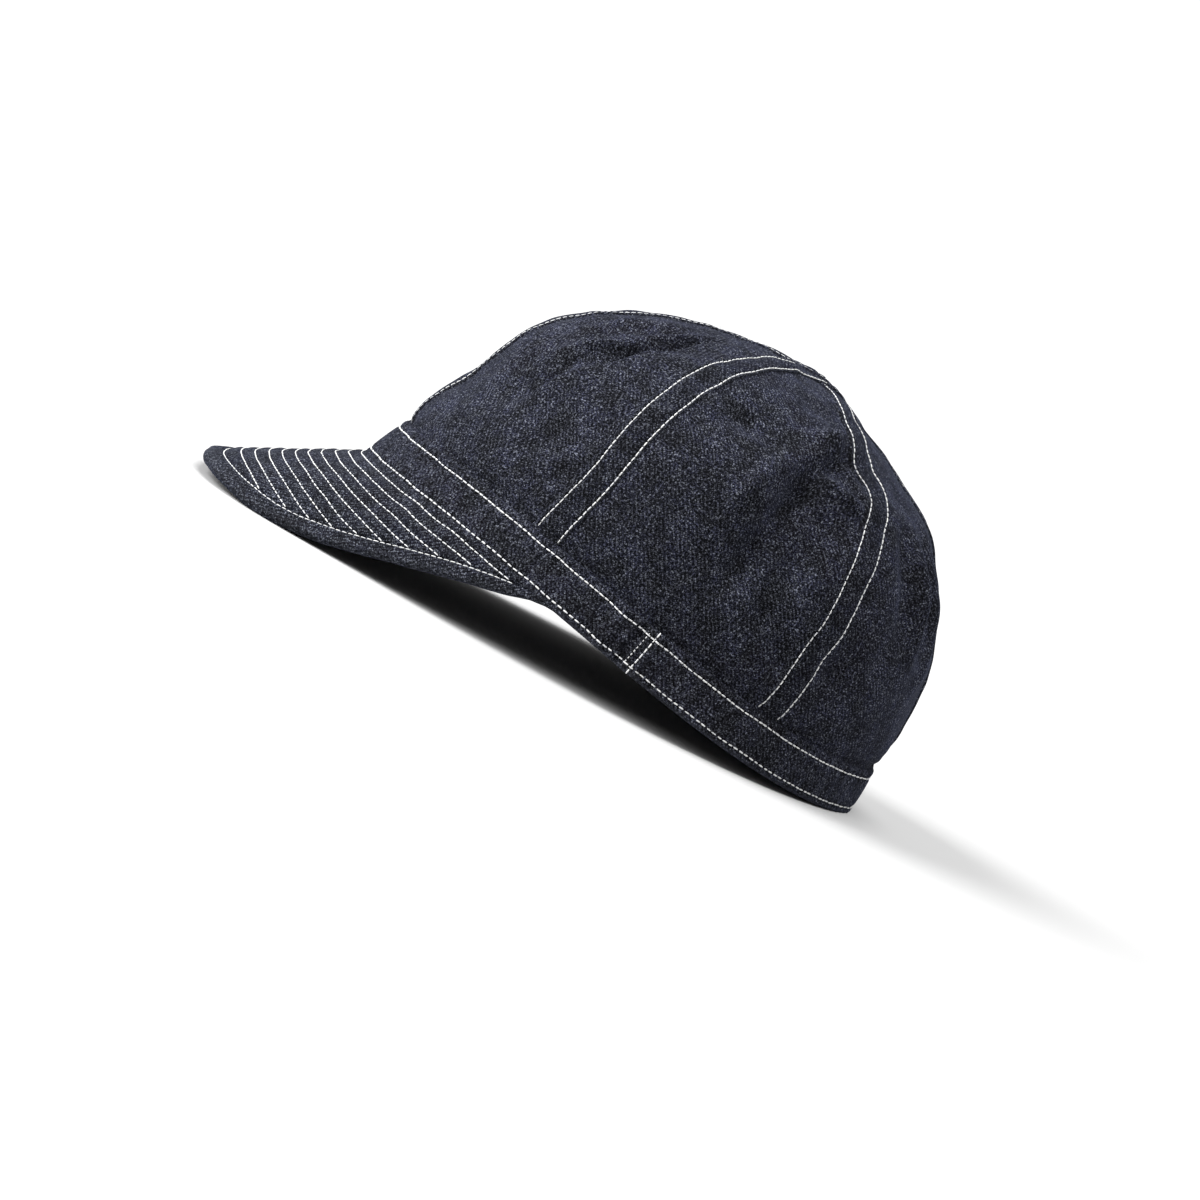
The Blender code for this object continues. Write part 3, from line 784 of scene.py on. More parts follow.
# %% The cloth below, as something a ray can find
def ray_target(grids):
    """A tree of the faces of several grids, in the cap's own frame."""
    points, quads, count = [], [], 0
    for grid in grids:
        rows, columns = grid.shape[:2]
        points.append(grid.reshape(-1, 3))
        quads.append(grid_quads(rows, columns, count))
        count += rows * columns
    return BVHTree.FromPolygons(np.concatenate(points).tolist(), np.concatenate(quads).tolist())


def drop(tree, points, away, lift=0.012):
    """Points moved against a direction onto the first cloth below them."""
    found = points.copy()
    for index in np.ndindex(points.shape[:-1]):
        start = Vector(points[index] + away[index] * lift)
        hit = tree.ray_cast(start, Vector(-away[index]), 2.5 * lift)[0]
        if hit is not None:
            found[index] = hit
    return found


def smoothed(values, reach, axis=0):
    """Values averaged over neighbours along one axis, with the ends kept."""
    kernel = np.hanning(2 * reach + 3)[1:-1]
    kernel /= kernel.sum()
    pad = [(0, 0)] * values.ndim
    pad[axis] = (reach, reach)
    wide = np.pad(values, pad, mode="edge")
    return np.apply_along_axis(lambda line: np.convolve(line, kernel, "valid"), axis, wide)

# %% Lay a strip along a seam
STRIP_STEP = 0.00085
PUCKER, PUCKER_SIZE = 0.00013, 0.0050     # ripples of a strip, strongest along its rows
ROW_REACH = 0.0022                        # and how far from a row they stay strong
WORN_FOLD = 0.0005                        # width of the rubbed line along the fold


def even_path(points, step):
    """A path of points resampled at an even spacing."""
    lengths = running_length(points)
    places = np.linspace(0, lengths[-1], int(lengths[-1] / step) + 1)
    return stack(*(np.interp(places, lengths, points[:, k]) for k in range(3))), places


def lay_strip(name, path, way_out, tree, fold_side, seed):
    """A felled strip along a path. Its fold lies to the right of the path where fold_side is 1."""
    centre, places = even_path(path, STRIP_STEP)
    out = unit(stack(*(np.interp(places / places[-1], np.linspace(0, 1, len(way_out)),
                                 smoothed(way_out, 4)[:, k]) for k in range(3))))
    ahead = unit(np.gradient(smoothed(centre, 4), axis=0))
    right = unit(np.cross(ahead, out))
    offset, height = PROFILE_OFFSET * fold_side, PROFILE_HEIGHT
    if fold_side < 0:
        offset, height = offset[::-1], height[::-1]
    sway = uneven(centre, (0.00026, 0.0060, seed), (0.00045, 0.018, seed + 1))
    flat = centre[:, None] + right[:, None] * (offset[None, :] + sway[:, None])[..., None]
    away = np.broadcast_to(out[:, None], flat.shape)
    below = drop(tree, flat, away)
    lift = np.sum((below - flat) * away, axis=-1)
    lift = smoothed(smoothed(lift, 2), 1, axis=1)
    below = flat + away * lift[..., None]
    normal = grid_normals(below)
    ripple = wander(below, PUCKER_SIZE, seed + 2)
    rows = hump(np.abs(offset) - ROW_OFFSET, ROW_REACH)
    rise = height[None, :] + PUCKER * ripple * (height > 0)[None, :] * (0.4 + rows)[None, :]
    top = below + normal * rise[..., None]
    bottom = below - normal * (SUNK + 0.00012)
    uv = cloth_lengths(top)
    wear = hump(offset * fold_side - FELL_HALF + 0.0002, WORN_FOLD)
    wear = np.broadcast_to(wear[None, :] * 0.6 + 0.04 * rows[None, :], rise.shape)
    piece = shell(name, at_rest(top), at_rest(bottom), uv, wear, SEAM_DENIM)
    return piece, top


def seam_path(seam, low, high, count=260):
    levels = np.linspace(low, high, count)
    azimuth = seam_azimuth(seam, levels)
    return crown_surface(azimuth, levels), crown_normal(azimuth, levels)


# %% The side strips, then the middle one, sewn last from the front over the top to the back
STRIP_FOOT = FOOT_LEVEL * 0.8
SIDE_TOP, MIDDLE_TOP = 0.990, 0.995
# Each strip's fold side, and the seed of its unevenness.
STRIPS = {"rear_left": (1, 31), "rear_right": (-1, 41), "front_left": (1, 51),
          "front_right": (-1, 61), "middle": (-1, 71)}
strips, strip_tops = [], {}
laid = list(panel_faces)
for seam, (fold_side, seed) in STRIPS.items():
    if seam == "middle":
        halves = (seam_path("front", STRIP_FOOT, MIDDLE_TOP),
                  seam_path("rear", MIDDLE_TOP, STRIP_FOOT))
        path, way_out = (np.concatenate(parts) for parts in zip(*halves))
    else:
        path, way_out = seam_path(seam, STRIP_FOOT, SIDE_TOP)
    piece, top = lay_strip(f"felled_seam_{seam}", path, way_out, ray_target(laid), fold_side, seed)
    strips.append(piece)
    strip_tops[seam] = top
    laid.append(top)
    check_closed(piece)

# %% [markdown]
# ## The band
# The band is a doubled strip, folded along both edges, with two rows of stitches. The crown's
# raw edge is caught between its layers, so it stands a little proud of the crown, and the
# stitches gather it into short upright ripples. Its outer end laps over on the wearer's left.
# Its section is a closed loop, carried round the rim.

# %% Section of the band
BAND_COLUMNS = 760
EDGE_ROUND = 0.0009
BAND_ROWS = (0.0024, 0.0136)      # heights of the two rows of stitches
FACE_POINTS = 26
# Upright ripples, their spacing along the band, and their heights in mm: at the upper row, at the
# lower row and everywhere. Then the groove at the rows and the swelling between them, in mm.
RIPPLE_PITCH = 0.0049
RIPPLE_UPPER, RIPPLE_LOWER, RIPPLE_ALL = 0.30, 0.18, 0.10
BAND_GROOVE, BAND_PUFF = 0.30, 0.22
# Upright dimples in front of the lap: how far in front, how deep and how wide.
LAP_DIMPLES = ((0.0058, 0.00190, 0.0010), (0.0098, 0.00120, 0.0012), (0.0160, 0.00060, 0.0015))


def band_section():
    """Height and inset round the band's section, from its lower edge up the outer face, over
    the top and down the inside; and 1 on the outer face."""
    face = np.linspace(EDGE_ROUND, BAND_HEIGHT - EDGE_ROUND, FACE_POINTS)
    turn = np.linspace(0, pi, 9)[1:-1]
    half = BAND_WALL / 2
    outer = [(h, 0.0, 1.0) for h in face]
    top = [(BAND_HEIGHT - EDGE_ROUND + EDGE_ROUND * sin(t), half - half * cos(t),
            0.5 + 0.5 * cos(t)) for t in turn]
    inner = [(h, BAND_WALL, 0.0) for h in face[::-2]]
    bottom = [(EDGE_ROUND - EDGE_ROUND * sin(t), half + half * cos(t), 0.5 - 0.5 * cos(t))
              for t in turn]
    return np.array(outer + top + inner + bottom)


def around_length(azimuth):
    """Length round the band's lower edge from the front to each azimuth."""
    steps = np.linspace(0, tau, 1441)
    return np.interp(azimuth % tau, steps, running_length(band_point(steps, 0.0)))


def band_out(azimuth):
    """The level way out of the band at each azimuth."""
    return unit(band_point(azimuth, 0.5) - band_point(azimuth, 0.5, 0.01))


def past_lap(azimuth):
    """Length round the band past the lap's end, negative in front of it."""
    return turn_from(radians(LAP_AZIMUTH), azimuth) * RIM_WIDTH / 2


def lap_lift(azimuth):
    """How far the band's outer layer stands out over its lap."""
    along = past_lap(azimuth)
    rise = ease((along + LAP_LENGTH + LAP_FADE) / LAP_FADE)
    return LAP_STEP * rise * round_off(along, LAP_EDGE) * (along < 0.0)


def band_relief(azimuth, height):
    """Ripples and grooves of the band's outer face."""
    place = band_point(azimuth, 0.0 * height)
    path = around_length(azimuth)
    phase = path / RIPPLE_PITCH * tau + 2.6 * wander(place, 0.013, 81) + height / 0.012
    shown = 0.30 + 0.70 * ease(wander(place, 0.011, 82) * 0.8 + 0.45)
    upper = hump(height - BAND_ROWS[1], 0.0042)
    lower = hump(height - BAND_ROWS[0], 0.0030)
    strength = RIPPLE_UPPER * upper + RIPPLE_LOWER * lower + RIPPLE_ALL
    ripple = np.sin(phase) * shown * strength * MM
    groove = sum(hump(height - row, 0.0007) for row in BAND_ROWS) * BAND_GROOVE * MM
    between = np.clip((height - BAND_ROWS[0]) / (BAND_ROWS[1] - BAND_ROWS[0]), 0, 1)
    puff = BAND_PUFF * MM * np.sin(between * pi)
    soft = stack(place[..., 0], place[..., 1], place[..., 2] + height)
    for ahead, deep, wide in LAP_DIMPLES:
        ripple = ripple - deep * hump(past_lap(azimuth) + ahead, wide)
    return ripple - groove + puff + 0.16 * MM * wander(soft, 0.007, 83)

# %% Carry the section round the rim
def lap_columns():
    """Azimuths round the band, with more of them at the lap's end, where it steps down."""
    even = np.linspace(0, tau, BAND_COLUMNS, endpoint=False)
    end = radians(LAP_AZIMUTH)
    near = end + np.array((-0.55, -0.42, -0.28, -0.14, -0.05, -0.01, 0.0, 0.02, 0.3)) * MM \
        / (RIM_WIDTH / 2)
    even = even[np.abs(even - end) > 0.009]
    return np.sort(np.concatenate((even, near)))


def make_band():
    section = band_section()
    azimuth = lap_columns()
    a = azimuth[:, None] + 0 * section[None, :, 0]
    height, inset, outside = (np.broadcast_to(section[None, :, k], a.shape) for k in range(3))
    points = band_point(a, height / BAND_HEIGHT, inset)
    push = (band_relief(a, height) + lap_lift(a)) * outside
    inside = 0.12 * MM * wander(points, 0.006, 84) * (1 - outside)
    points = points + band_out(a) * (push + inside)[..., None]
    edges = hump(height - 0.0003, 0.0007) * 0.55
    wear = np.clip(edges + 0.7 * hump(past_lap(a) + 0.0003, 0.0005), 0, 1)
    uv = stack(around_length(azimuth)[:, None], running_length(section[:, :2])[None, :])
    rows, columns = a.shape
    quads = grid_quads(rows, columns, closed=True)
    last = (rows - 1) * columns + np.arange(columns)
    first = np.arange(columns)
    joint = np.stack((last, np.roll(last, -1), np.roll(first, -1), first), axis=-1)
    quads = np.concatenate((quads, joint))[:, ::-1]
    return cloth_mesh("band_cloth_ring", at_rest(points), quads, uv, wear, BAND_DENIM)


band = make_band()
check_closed(band)

# %% [markdown]
# ## The peak
# The peak is several layers thick. Ten rows that follow the band quilt it together, and its thick
# rolled edge lies outside one row that follows its rim. Between the rows the cloth swells. We take
# a section from the band out to the edge, round it and back underneath, and carry it from corner
# to corner.

# %% Lines on the peak
QUILT_FIRST, QUILT_PITCH, QUILT_COUNT = 0.00091, 0.00440, 10
ROOT = -0.0016               # the peak runs this far up inside the band
PEAK_COLUMNS, PEAK_STEPS, RIM_STEPS = 330, 84, 11
CORNER_END = 79.0            # the cloth thins out to here, a little past the solid's corners
PEAK_THIN = 0.0006
SWELL, ROLL, EDGE_GROOVE = 0.00062, 0.00045, 0.00055
UNDER_SHARE = 0.8            # the underside swells this share of the top
PEAK_UNEVEN = ((0.00016, 0.0042, 91), (0.00020, 0.011, 92))


def edge_row_inset(azimuth):
    """How far the edge row lies inside the peak's rim, measured along the cloth's lines."""
    share = np.abs(azimuth) / radians(PEAK_HALF_ANGLE)
    return np.interp(share, (0, 0.25, 0.5, 0.75, 1.0), (6.7, 6.9, 7.0, 6.2, 4.5)) * MM


def peak_relief(azimuth, out):
    """How far the peak's cloth swells between its rows of stitches."""
    place = peak_point(azimuth, out)
    depth = peak_depth(azimuth)
    to_edge_row = depth - edge_row_inset(azimuth) - out
    quilted = ease(to_edge_row / 0.0018)
    wave = np.abs(np.sin((out - QUILT_FIRST) / QUILT_PITCH * pi)) ** 0.7
    swell = SWELL * (wave - 0.45) * quilted
    roll = ease(-to_edge_row / 0.0012 + 0.15)
    swell = swell + ROLL * roll - EDGE_GROOVE * hump(to_edge_row, 0.0008)
    return swell + uneven(place, *PEAK_UNEVEN) * np.clip(out / 0.002, 0.0, 1.0)


def upwards(ahead, sideways):
    """The way square to two others, on the side that faces up."""
    way = unit(np.cross(ahead, sideways))
    return way * np.sign(way[..., 2:3] + 1e-9)

# %% Carry the section from corner to corner
def corner_taper(azimuth):
    """1 over most of the peak, and 0 at its corners, where it thins out against the band."""
    return np.sin(ease((radians(CORNER_END) - np.abs(azimuth)) / radians(17)) * pi / 2)


def make_peak():
    azimuth = radians(CORNER_END) * np.linspace(-1, 1, PEAK_COLUMNS)
    taper = corner_taper(azimuth)
    depth = peak_depth(azimuth) * taper
    wall = PEAK_THIN + (PEAK_WALL - PEAK_THIN) * taper
    half = wall / 2
    # At its corners the cloth goes up inside the band, so its end is never seen.
    reach = np.maximum(depth - half, 0.0002) - 0.0013 * (1 - taper) ** 2
    share = np.linspace(0, 1, PEAK_STEPS)
    out = ROOT + (reach - ROOT)[:, None] * share[None, :]
    a = azimuth[:, None] + 0 * out
    face = peak_point(a, out)
    upward = upwards(np.gradient(face, axis=0), np.gradient(face, axis=1))
    relief = peak_relief(a, out) * taper[:, None]
    top = face + upward * relief[..., None]
    under = face - upward * (wall[:, None] + relief * UNDER_SHARE)[..., None]
    ahead = unit(face[:, -1] - face[:, -2])
    turns = np.linspace(0, pi, RIM_STEPS + 2)[1:-1]
    middle = (top[:, -1] + under[:, -1]) / 2
    thick = np.linalg.norm(top[:, -1] - under[:, -1], axis=-1) / 2
    lip = 0.00028 * wander(middle, 0.006, 93)
    rim = (middle[:, None] + upward[:, -1][:, None] * (thick[:, None] * np.cos(turns))[..., None]
           + ahead[:, None] * ((half + lip * taper)[:, None] * np.sin(turns))[..., None])
    loop = np.concatenate((top, rim, under[:, ::-1]), axis=1)
    uv = stack(running_length(loop[:, PEAK_STEPS // 2])[:, None], running_length(loop, 1))
    wear = np.zeros(loop.shape[:2])
    wear[:, PEAK_STEPS:PEAK_STEPS + RIM_STEPS] = 0.55
    wear[:, PEAK_STEPS - 8:PEAK_STEPS] = np.linspace(0.1, 0.5, 8)
    swollen = np.clip(relief / 0.0004, 0, 1) * 0.16
    wear[:, :PEAK_STEPS] = np.maximum(wear[:, :PEAK_STEPS], swollen)
    rows, columns = loop.shape[:2]
    quads = grid_quads(rows, columns, closed=True)
    piece = cloth_mesh("peak_cloth_quilt", at_rest(loop), quads, uv, wear, SHADED_PEAK_DENIM)
    face_outwards(piece.data, [range(row * columns, (row + 1) * columns)
                               for row in (0, rows - 1)])
    return piece


peak = make_peak()
check_closed(peak)

# %% [markdown]
# ## Rows of stitches
# A machine stitch is a short length of thread that dips into the cloth at both ends. There are
# thousands of them, all alike, so Geometry Nodes place one small stitch again and again: the
# rows become curves, the curves are cut into even lengths, and each point gets a stitch that is
# turned along the row and away from the cloth. A little chance in length and angle keeps them
# from looking printed.

# %% One stitch
STITCH_LENGTH, STITCH_GAP, THREAD_WIDTH = 0.00200, 0.00008, 0.00056


def one_stitch():
    """A stitch along X, 1 long and 1 thick, with its ends dipping and a UV map for its twist."""
    rings, sides = 7, 6
    mesh = bpy.data.meshes.new("stitch_shape")
    along = np.linspace(-0.5, 0.5, rings)
    points, uv = [], []
    for x in along:
        bulge = sqrt(max(1 - (abs(x) / 0.5) ** 5, 0.05))
        dip = -0.42 * (abs(x) / 0.5) ** 4
        for k in range(sides):
            angle = tau * k / sides
            points.append((x, 0.5 * bulge * cos(angle), dip + 0.5 * bulge * sin(angle)))
    faces = [[j * sides + k, j * sides + (k + 1) % sides, (j + 1) * sides + (k + 1) % sides,
              (j + 1) * sides + k] for j in range(rings - 1) for k in range(sides)]
    faces = [face[::-1] for face in faces]
    faces += [list(range(sides)), [(rings - 1) * sides + k for k in range(sides)][::-1]]
    mesh.from_pydata(points, [], faces)
    layer = mesh.uv_layers.new(name="strand")
    for polygon in mesh.polygons:
        for loop_index, vertex in zip(polygon.loop_indices, polygon.vertices):
            j, k = divmod(vertex, sides)
            seam = 1 if (polygon.index < (rings - 1) * sides
                         and polygon.index % sides == sides - 1 and k == 0) else 0
            layer.data[loop_index].uv = (along[j] + 0.5, k / sides + seam)
    face_outwards(mesh)
    return bpy.data.objects.new("stitch_shape", mesh)


STITCH = one_stitch()
print("one stitch:", len(STITCH.data.polygons), "faces")

# %% The tree that repeats it
def stitch_tree():
    tree = bpy.data.node_groups.new("stitch_rows", "GeometryNodeTree")
    face = tree.interface
    face.new_socket("Rows", in_out="INPUT", socket_type="NodeSocketGeometry")
    for label, value in (("Stitch Length", STITCH_LENGTH), ("Gap", STITCH_GAP),
                         ("Thread Width", THREAD_WIDTH)):
        face.new_socket(label, in_out="INPUT", socket_type="NodeSocketFloat").default_value = value
    for label, kind in (("Stitch", "NodeSocketObject"), ("Thread", "NodeSocketMaterial")):
        face.new_socket(label, in_out="INPUT", socket_type=kind)
    face.new_socket("Seed", in_out="INPUT", socket_type="NodeSocketInt").default_value = 7
    face.new_socket("Stitches", in_out="OUTPUT", socket_type="NodeSocketGeometry")
    w = Wiring(tree)
    given, made = w.add("NodeGroupInput"), w.add("NodeGroupOutput")
    pitch = w.math("ADD", given.outputs["Stitch Length"], given.outputs["Gap"])
    curve = w.add("GeometryNodeMeshToCurve", {0: given.outputs["Rows"]})
    cut = w.add("GeometryNodeResampleCurve", {"Curve": curve.outputs[0]})
    cut.mode = "LENGTH"
    w.give(cut.inputs["Length"], pitch)
    outward = w.add("GeometryNodeInputNamedAttribute", {"Name": "outward"},
                    data_type="FLOAT_VECTOR").outputs["Attribute"]
    tangent = w.add("GeometryNodeInputTangent").outputs[0]
    along = w.add("FunctionNodeAlignRotationToVector", {"Vector": tangent}, axis="X")
    upright = w.add("FunctionNodeAlignRotationToVector",
                    {"Rotation": along.outputs[0], "Vector": outward}, axis="Z", pivot_axis="X")

    def chance(low, high, offset):
        seed = w.math("ADD", given.outputs["Seed"], float(offset))
        return w.add("FunctionNodeRandomValue", {2: low, 3: high, "Seed": seed},
                     data_type="FLOAT").outputs[1]

    wobble = w.add("ShaderNodeCombineXYZ", {0: 0.0, 1: chance(-0.03, 0.06, 1),
                                            2: chance(-0.07, 0.07, 2)})
    swing = w.add("FunctionNodeEulerToRotation", {0: wobble.outputs[0]})
    turn = w.add("FunctionNodeRotateRotation", {"Rotation": upright.outputs[0],
                                                "Rotate By": swing.outputs[0]})
    turn.rotation_space = "LOCAL"
    long = w.times(given.outputs["Stitch Length"], chance(0.90, 1.06, 3))
    wide = w.times(given.outputs["Thread Width"], chance(0.88, 1.12, 4))
    size = w.add("ShaderNodeCombineXYZ", {0: long, 1: wide, 2: wide})
    shape = w.add("GeometryNodeObjectInfo", {"Object": given.outputs["Stitch"]})
    place = w.add("GeometryNodeInstanceOnPoints",
                  {"Points": cut.outputs[0], "Instance": shape.outputs["Geometry"],
                   "Rotation": turn.outputs[0], "Scale": size.outputs[0]})
    real = w.add("GeometryNodeRealizeInstances", {0: place.outputs[0]})
    finish = w.add("GeometryNodeSetMaterial", {"Geometry": real.outputs[0],
                                               "Material": given.outputs["Thread"]})
    w.give(made.inputs["Stitches"], finish.outputs[0])
    return tree


STITCH_TREE = stitch_tree()


def socket_name(tree, label):
    """A modifier's inputs are set by their identifier, which we look up by their label."""
    return next(item.identifier for item in tree.interface.items_tree
                if item.name == label and item.in_out == "INPUT")


print("stitch tree:", len(STITCH_TREE.nodes), "nodes")

# %% Sew rows
def sew(name, rows, seed, **sizes):
    """One piece of thread: stitches along rows, each a pair of points and ways out."""
    points, edges, outward = [], [], []
    for path, out in rows:
        start = len(points)
        points += path.tolist()
        outward += out.tolist()
        edges += [(start + k, start + k + 1) for k in range(len(path) - 1)]
    mesh = bpy.data.meshes.new(name)
    mesh.from_pydata(points, edges, [])
    mark = mesh.attributes.new("outward", "FLOAT_VECTOR", "POINT")
    mark.data.foreach_set("vector", np.array(outward, np.float32).ravel())
    piece = new_object(name, mesh)
    modifier = piece.modifiers.new("stitches", "NODES")
    modifier.node_group = STITCH_TREE
    for label, value in {"Stitch": STITCH, "Thread": THREAD, "Seed": seed, **sizes}.items():
        modifier[socket_name(STITCH_TREE, label.replace("_", " "))] = value
    bpy.context.view_layer.update()
    made = bpy.data.meshes.new_from_object(piece.evaluated_get(
        bpy.context.evaluated_depsgraph_get()))
    piece.modifiers.clear()
    piece.data = made
    made.name = name
    count = len(made.polygons) // len(STITCH.data.polygons)
    print(f"{name}: {count} stitches, {sum(len(p.vertices) - 2 for p in made.polygons)} triangles")
    return piece


def on_top(path, out, height=0.00012):
    """A row lifted so that the thread lies in its groove, with its ways out, at rest."""
    lifted = at_rest(path + out * height)
    return lifted, np.asarray(out) @ TURN.T

# %% Rows on the crown
def row_on_strip(top, offsets, row):
    """A row at one offset across a strip, between the columns on either side of it."""
    normal = smoothed(grid_normals(top), 2)
    column = np.interp(row, offsets, np.arange(len(offsets)))
    i = int(column)
    t = column - i
    path = top[:, i] * (1 - t) + top[:, i + 1] * t
    out = unit(normal[:, i - 1] + normal[:, i + 2])
    return path, out


ROW_MARGIN = 4               # points of a strip left unsewn at each of its ends
CROWN_THREAD_WIDTH = 0.00044
crown_rows = []
for seam, top in strip_tops.items():
    offsets = PROFILE_OFFSET if STRIPS[seam][0] > 0 else -PROFILE_OFFSET[::-1]
    for row in (-ROW_OFFSET, ROW_OFFSET):
        path, out = row_on_strip(top, offsets, row)
        last = len(path) - ROW_MARGIN
        if seam != "middle":
            # A side row stops where it runs in under the middle strip.
            under = np.nonzero(np.abs(path[:, 0]) < FELL_HALF)[0]
            last = under[0] if len(under) else last
        crown_rows.append(on_top(path[ROW_MARGIN:last], out[ROW_MARGIN:last]))
crown_thread = sew("crown_thread", crown_rows, 7, Thread_Width=CROWN_THREAD_WIDTH)
# The same stitches come through on the reverse.
BEHIND = 0.00072             # about a strip's height at its rows and the thread's lift on both faces
THROUGH = CROWN_WALL + BEHIND
inner_rows = [(path - out * THROUGH, -out) for path, out in crown_rows]
crown_inner_thread = sew("crown_inner_thread", inner_rows, 17, Thread_Width=CROWN_THREAD_WIDTH)

# %% Rows on the band
def band_row(height, inside=False, count=900):
    azimuth = np.linspace(0.0, tau, count)
    h = np.full(count, height)
    out = band_out(azimuth)
    sway = 0.00024 * wander(band_point(azimuth, 0.0), 0.007, 85)
    if inside:
        return band_point(azimuth, (h + sway) / BAND_HEIGHT, BAND_WALL), -unit(smoothed(out, 2))
    push = band_relief(azimuth, h) + lap_lift(azimuth)
    push = np.maximum(push, smoothed(push, 3))    # the thread spans the lap's step
    path = band_point(azimuth, (h + sway) / BAND_HEIGHT) + out * push[:, None]
    return path, unit(smoothed(out, 2))


def lap_row(shift, low, high, count=40):
    """A row up the band, a distance in front of the lap's end."""
    height = np.linspace(low, high, count)
    azimuth = np.full(count, radians(LAP_AZIMUTH) - shift / (RIM_WIDTH / 2))
    out = band_out(azimuth)
    push = band_relief(azimuth, height) + lap_lift(azimuth)
    return band_point(azimuth, height / BAND_HEIGHT) + out * push[:, None], out


# The rows up the band: how far in front of the lap's end, and from and to which height.
LAP_ROW, LAP_TACKS = (0.0016, 0.0009, 0.0156), (0.0038, 0.0030, 0.0140)
BAND_THREAD_WIDTH, TACK_WIDTH = 0.00050, 0.00038
band_rows = [on_top(*band_row(BAND_ROWS[1])), on_top(*lap_row(*LAP_ROW))]
band_thread = sew("band_thread", band_rows, 8, Thread_Width=BAND_THREAD_WIDTH)
band_low_thread = sew("band_low_thread", [on_top(*band_row(BAND_ROWS[0]))], 12,
                      Gap=0.00038, Thread_Width=BAND_THREAD_WIDTH)
inside_rows = [on_top(*band_row(height, inside=True)) for height in BAND_ROWS]
band_inner_thread = sew("band_inner_thread", inside_rows, 18, Thread_Width=CROWN_THREAD_WIDTH)
lap_tacks = sew("band_lap_tacks", [on_top(*lap_row(*LAP_TACKS))], 9,
                Stitch_Length=0.0008, Gap=0.0005, Thread_Width=TACK_WIDTH)

# %% Rows on the peak
def peak_row(azimuth, out, under=False):
    face = peak_point(azimuth, out)
    ahead = unit(peak_point(azimuth, out + 0.0005) - face)
    sideways = unit(peak_point(azimuth + STEP, out) - peak_point(azimuth - STEP, out))
    upward = upwards(ahead, sideways)
    relief = peak_relief(azimuth, out)
    if under:
        return face - upward * (PEAK_WALL + relief * UNDER_SHARE)[..., None], -upward
    return face + upward * relief[..., None], upward


def quilt_row(number, under=False):
    """One row of quilting, as far as the edge row on either side."""
    out = QUILT_FIRST + QUILT_PITCH * number
    azimuth = np.radians(PEAK_HALF_ANGLE) * np.linspace(-1, 1, 1200)
    room = peak_depth(azimuth) - edge_row_inset(azimuth) - out
    kept = azimuth[room > 0.0011]
    if len(kept) < 20:
        return None
    sway = 0.00030 * wander(stack(kept * 0.08, out, 0.0), 0.008, 95)
    return peak_row(kept, out + sway, under)


def edge_row(under=False):
    azimuth = np.radians(PEAK_HALF_ANGLE) * np.linspace(-0.93, 0.93, 900)
    out = np.maximum(peak_depth(azimuth) - edge_row_inset(azimuth), 0.0012)
    return peak_row(azimuth, out, under)


def all_peak_rows(under):
    quilted = (quilt_row(number, under) for number in range(QUILT_COUNT))
    return [on_top(*row) for row in (*quilted, edge_row(under)) if row]


PEAK_SEWING = {"Gap": 0.00022, "Thread_Width": 0.00042}
peak_rows = all_peak_rows(False)
peak_thread = sew("peak_thread", peak_rows, 10, **PEAK_SEWING)
peak_under_thread = sew("peak_thread_below", all_peak_rows(True), 11, **PEAK_SEWING)

# %% [markdown]
# ## Loose fibres
# A few fibres stick out of the cloth along the seams, where its cut edges fray. Each one is a
# thin bent tube that starts in the cloth. They are few and short, so the outline stays crisp
# elsewhere.

# %% Fibres along the felled seams
FIBRE_COUNT, FIBRE_WIDTH = 34, 0.00013
FIBRE_SIDES, FIBRE_STEPS = 5, 9


def fibre(root, out, ahead, length, bend):
    """A closed tube that leaves the cloth at its root, and bends over as it goes."""
    t = np.linspace(0, 1, FIBRE_STEPS)[:, None]
    spine = root + length * (out * (0.9 * t - 0.5 * t ** 2) + ahead * (0.5 * t + bend * t ** 2))
    along = unit(np.gradient(spine, axis=0))
    side = unit(np.cross(along, out))
    other = np.cross(along, side)
    turn = np.linspace(0, tau, FIBRE_SIDES, endpoint=False)[None, :, None]
    thin = (FIBRE_WIDTH / 2 * np.sqrt(1.02 - t))[:, :, None]
    return spine[:, None] + thin * (side[:, None] * np.cos(turn) + other[:, None] * np.sin(turn))


def scatter_fibres(rows, seed):
    dice = np.random.default_rng(seed)
    points, faces = [], []
    for _ in range(FIBRE_COUNT):
        path, out = rows[dice.integers(len(rows))]
        k = dice.integers(4, len(path) - 4)
        ahead = unit(unit(path[k + 1] - path[k]) + dice.normal(0, 0.8, 3))
        length = 0.0011 + 0.0022 * dice.random() ** 2
        tube = fibre(path[k] - out[k] * 0.0002, out[k], ahead, length, dice.normal(0, 0.5))
        start = sum(len(p) for p in points)
        rings = grid_quads(FIBRE_STEPS, FIBRE_SIDES, start, closed=True)
        last = start + (FIBRE_STEPS - 1) * FIBRE_SIDES
        faces += rings.tolist()
        faces += [[start + i for i in range(FIBRE_SIDES)][::-1],
                  [last + i for i in range(FIBRE_SIDES)]]
        points.append(tube.reshape(-1, 3))
    mesh = bpy.data.meshes.new("loose_fibres")
    mesh.from_pydata(np.concatenate(points).tolist(), [], faces)
    mesh.uv_layers.new(name="strand")
    mesh.materials.append(THREAD)
    face_outwards(mesh)
    return new_object("loose_fibres", mesh)


fibres = scatter_fibres(crown_rows + peak_rows[-1:], 5)
check_closed(fibres)

# %% [markdown]
# ## Joining the pieces to the frame
# Each piece of cloth stands for its solid, which is then not shown. The strips and the thread
# have no solid of their own: they are part of the sewn cloth, and they ride with it. The cap has
# no joint, so there is one body.

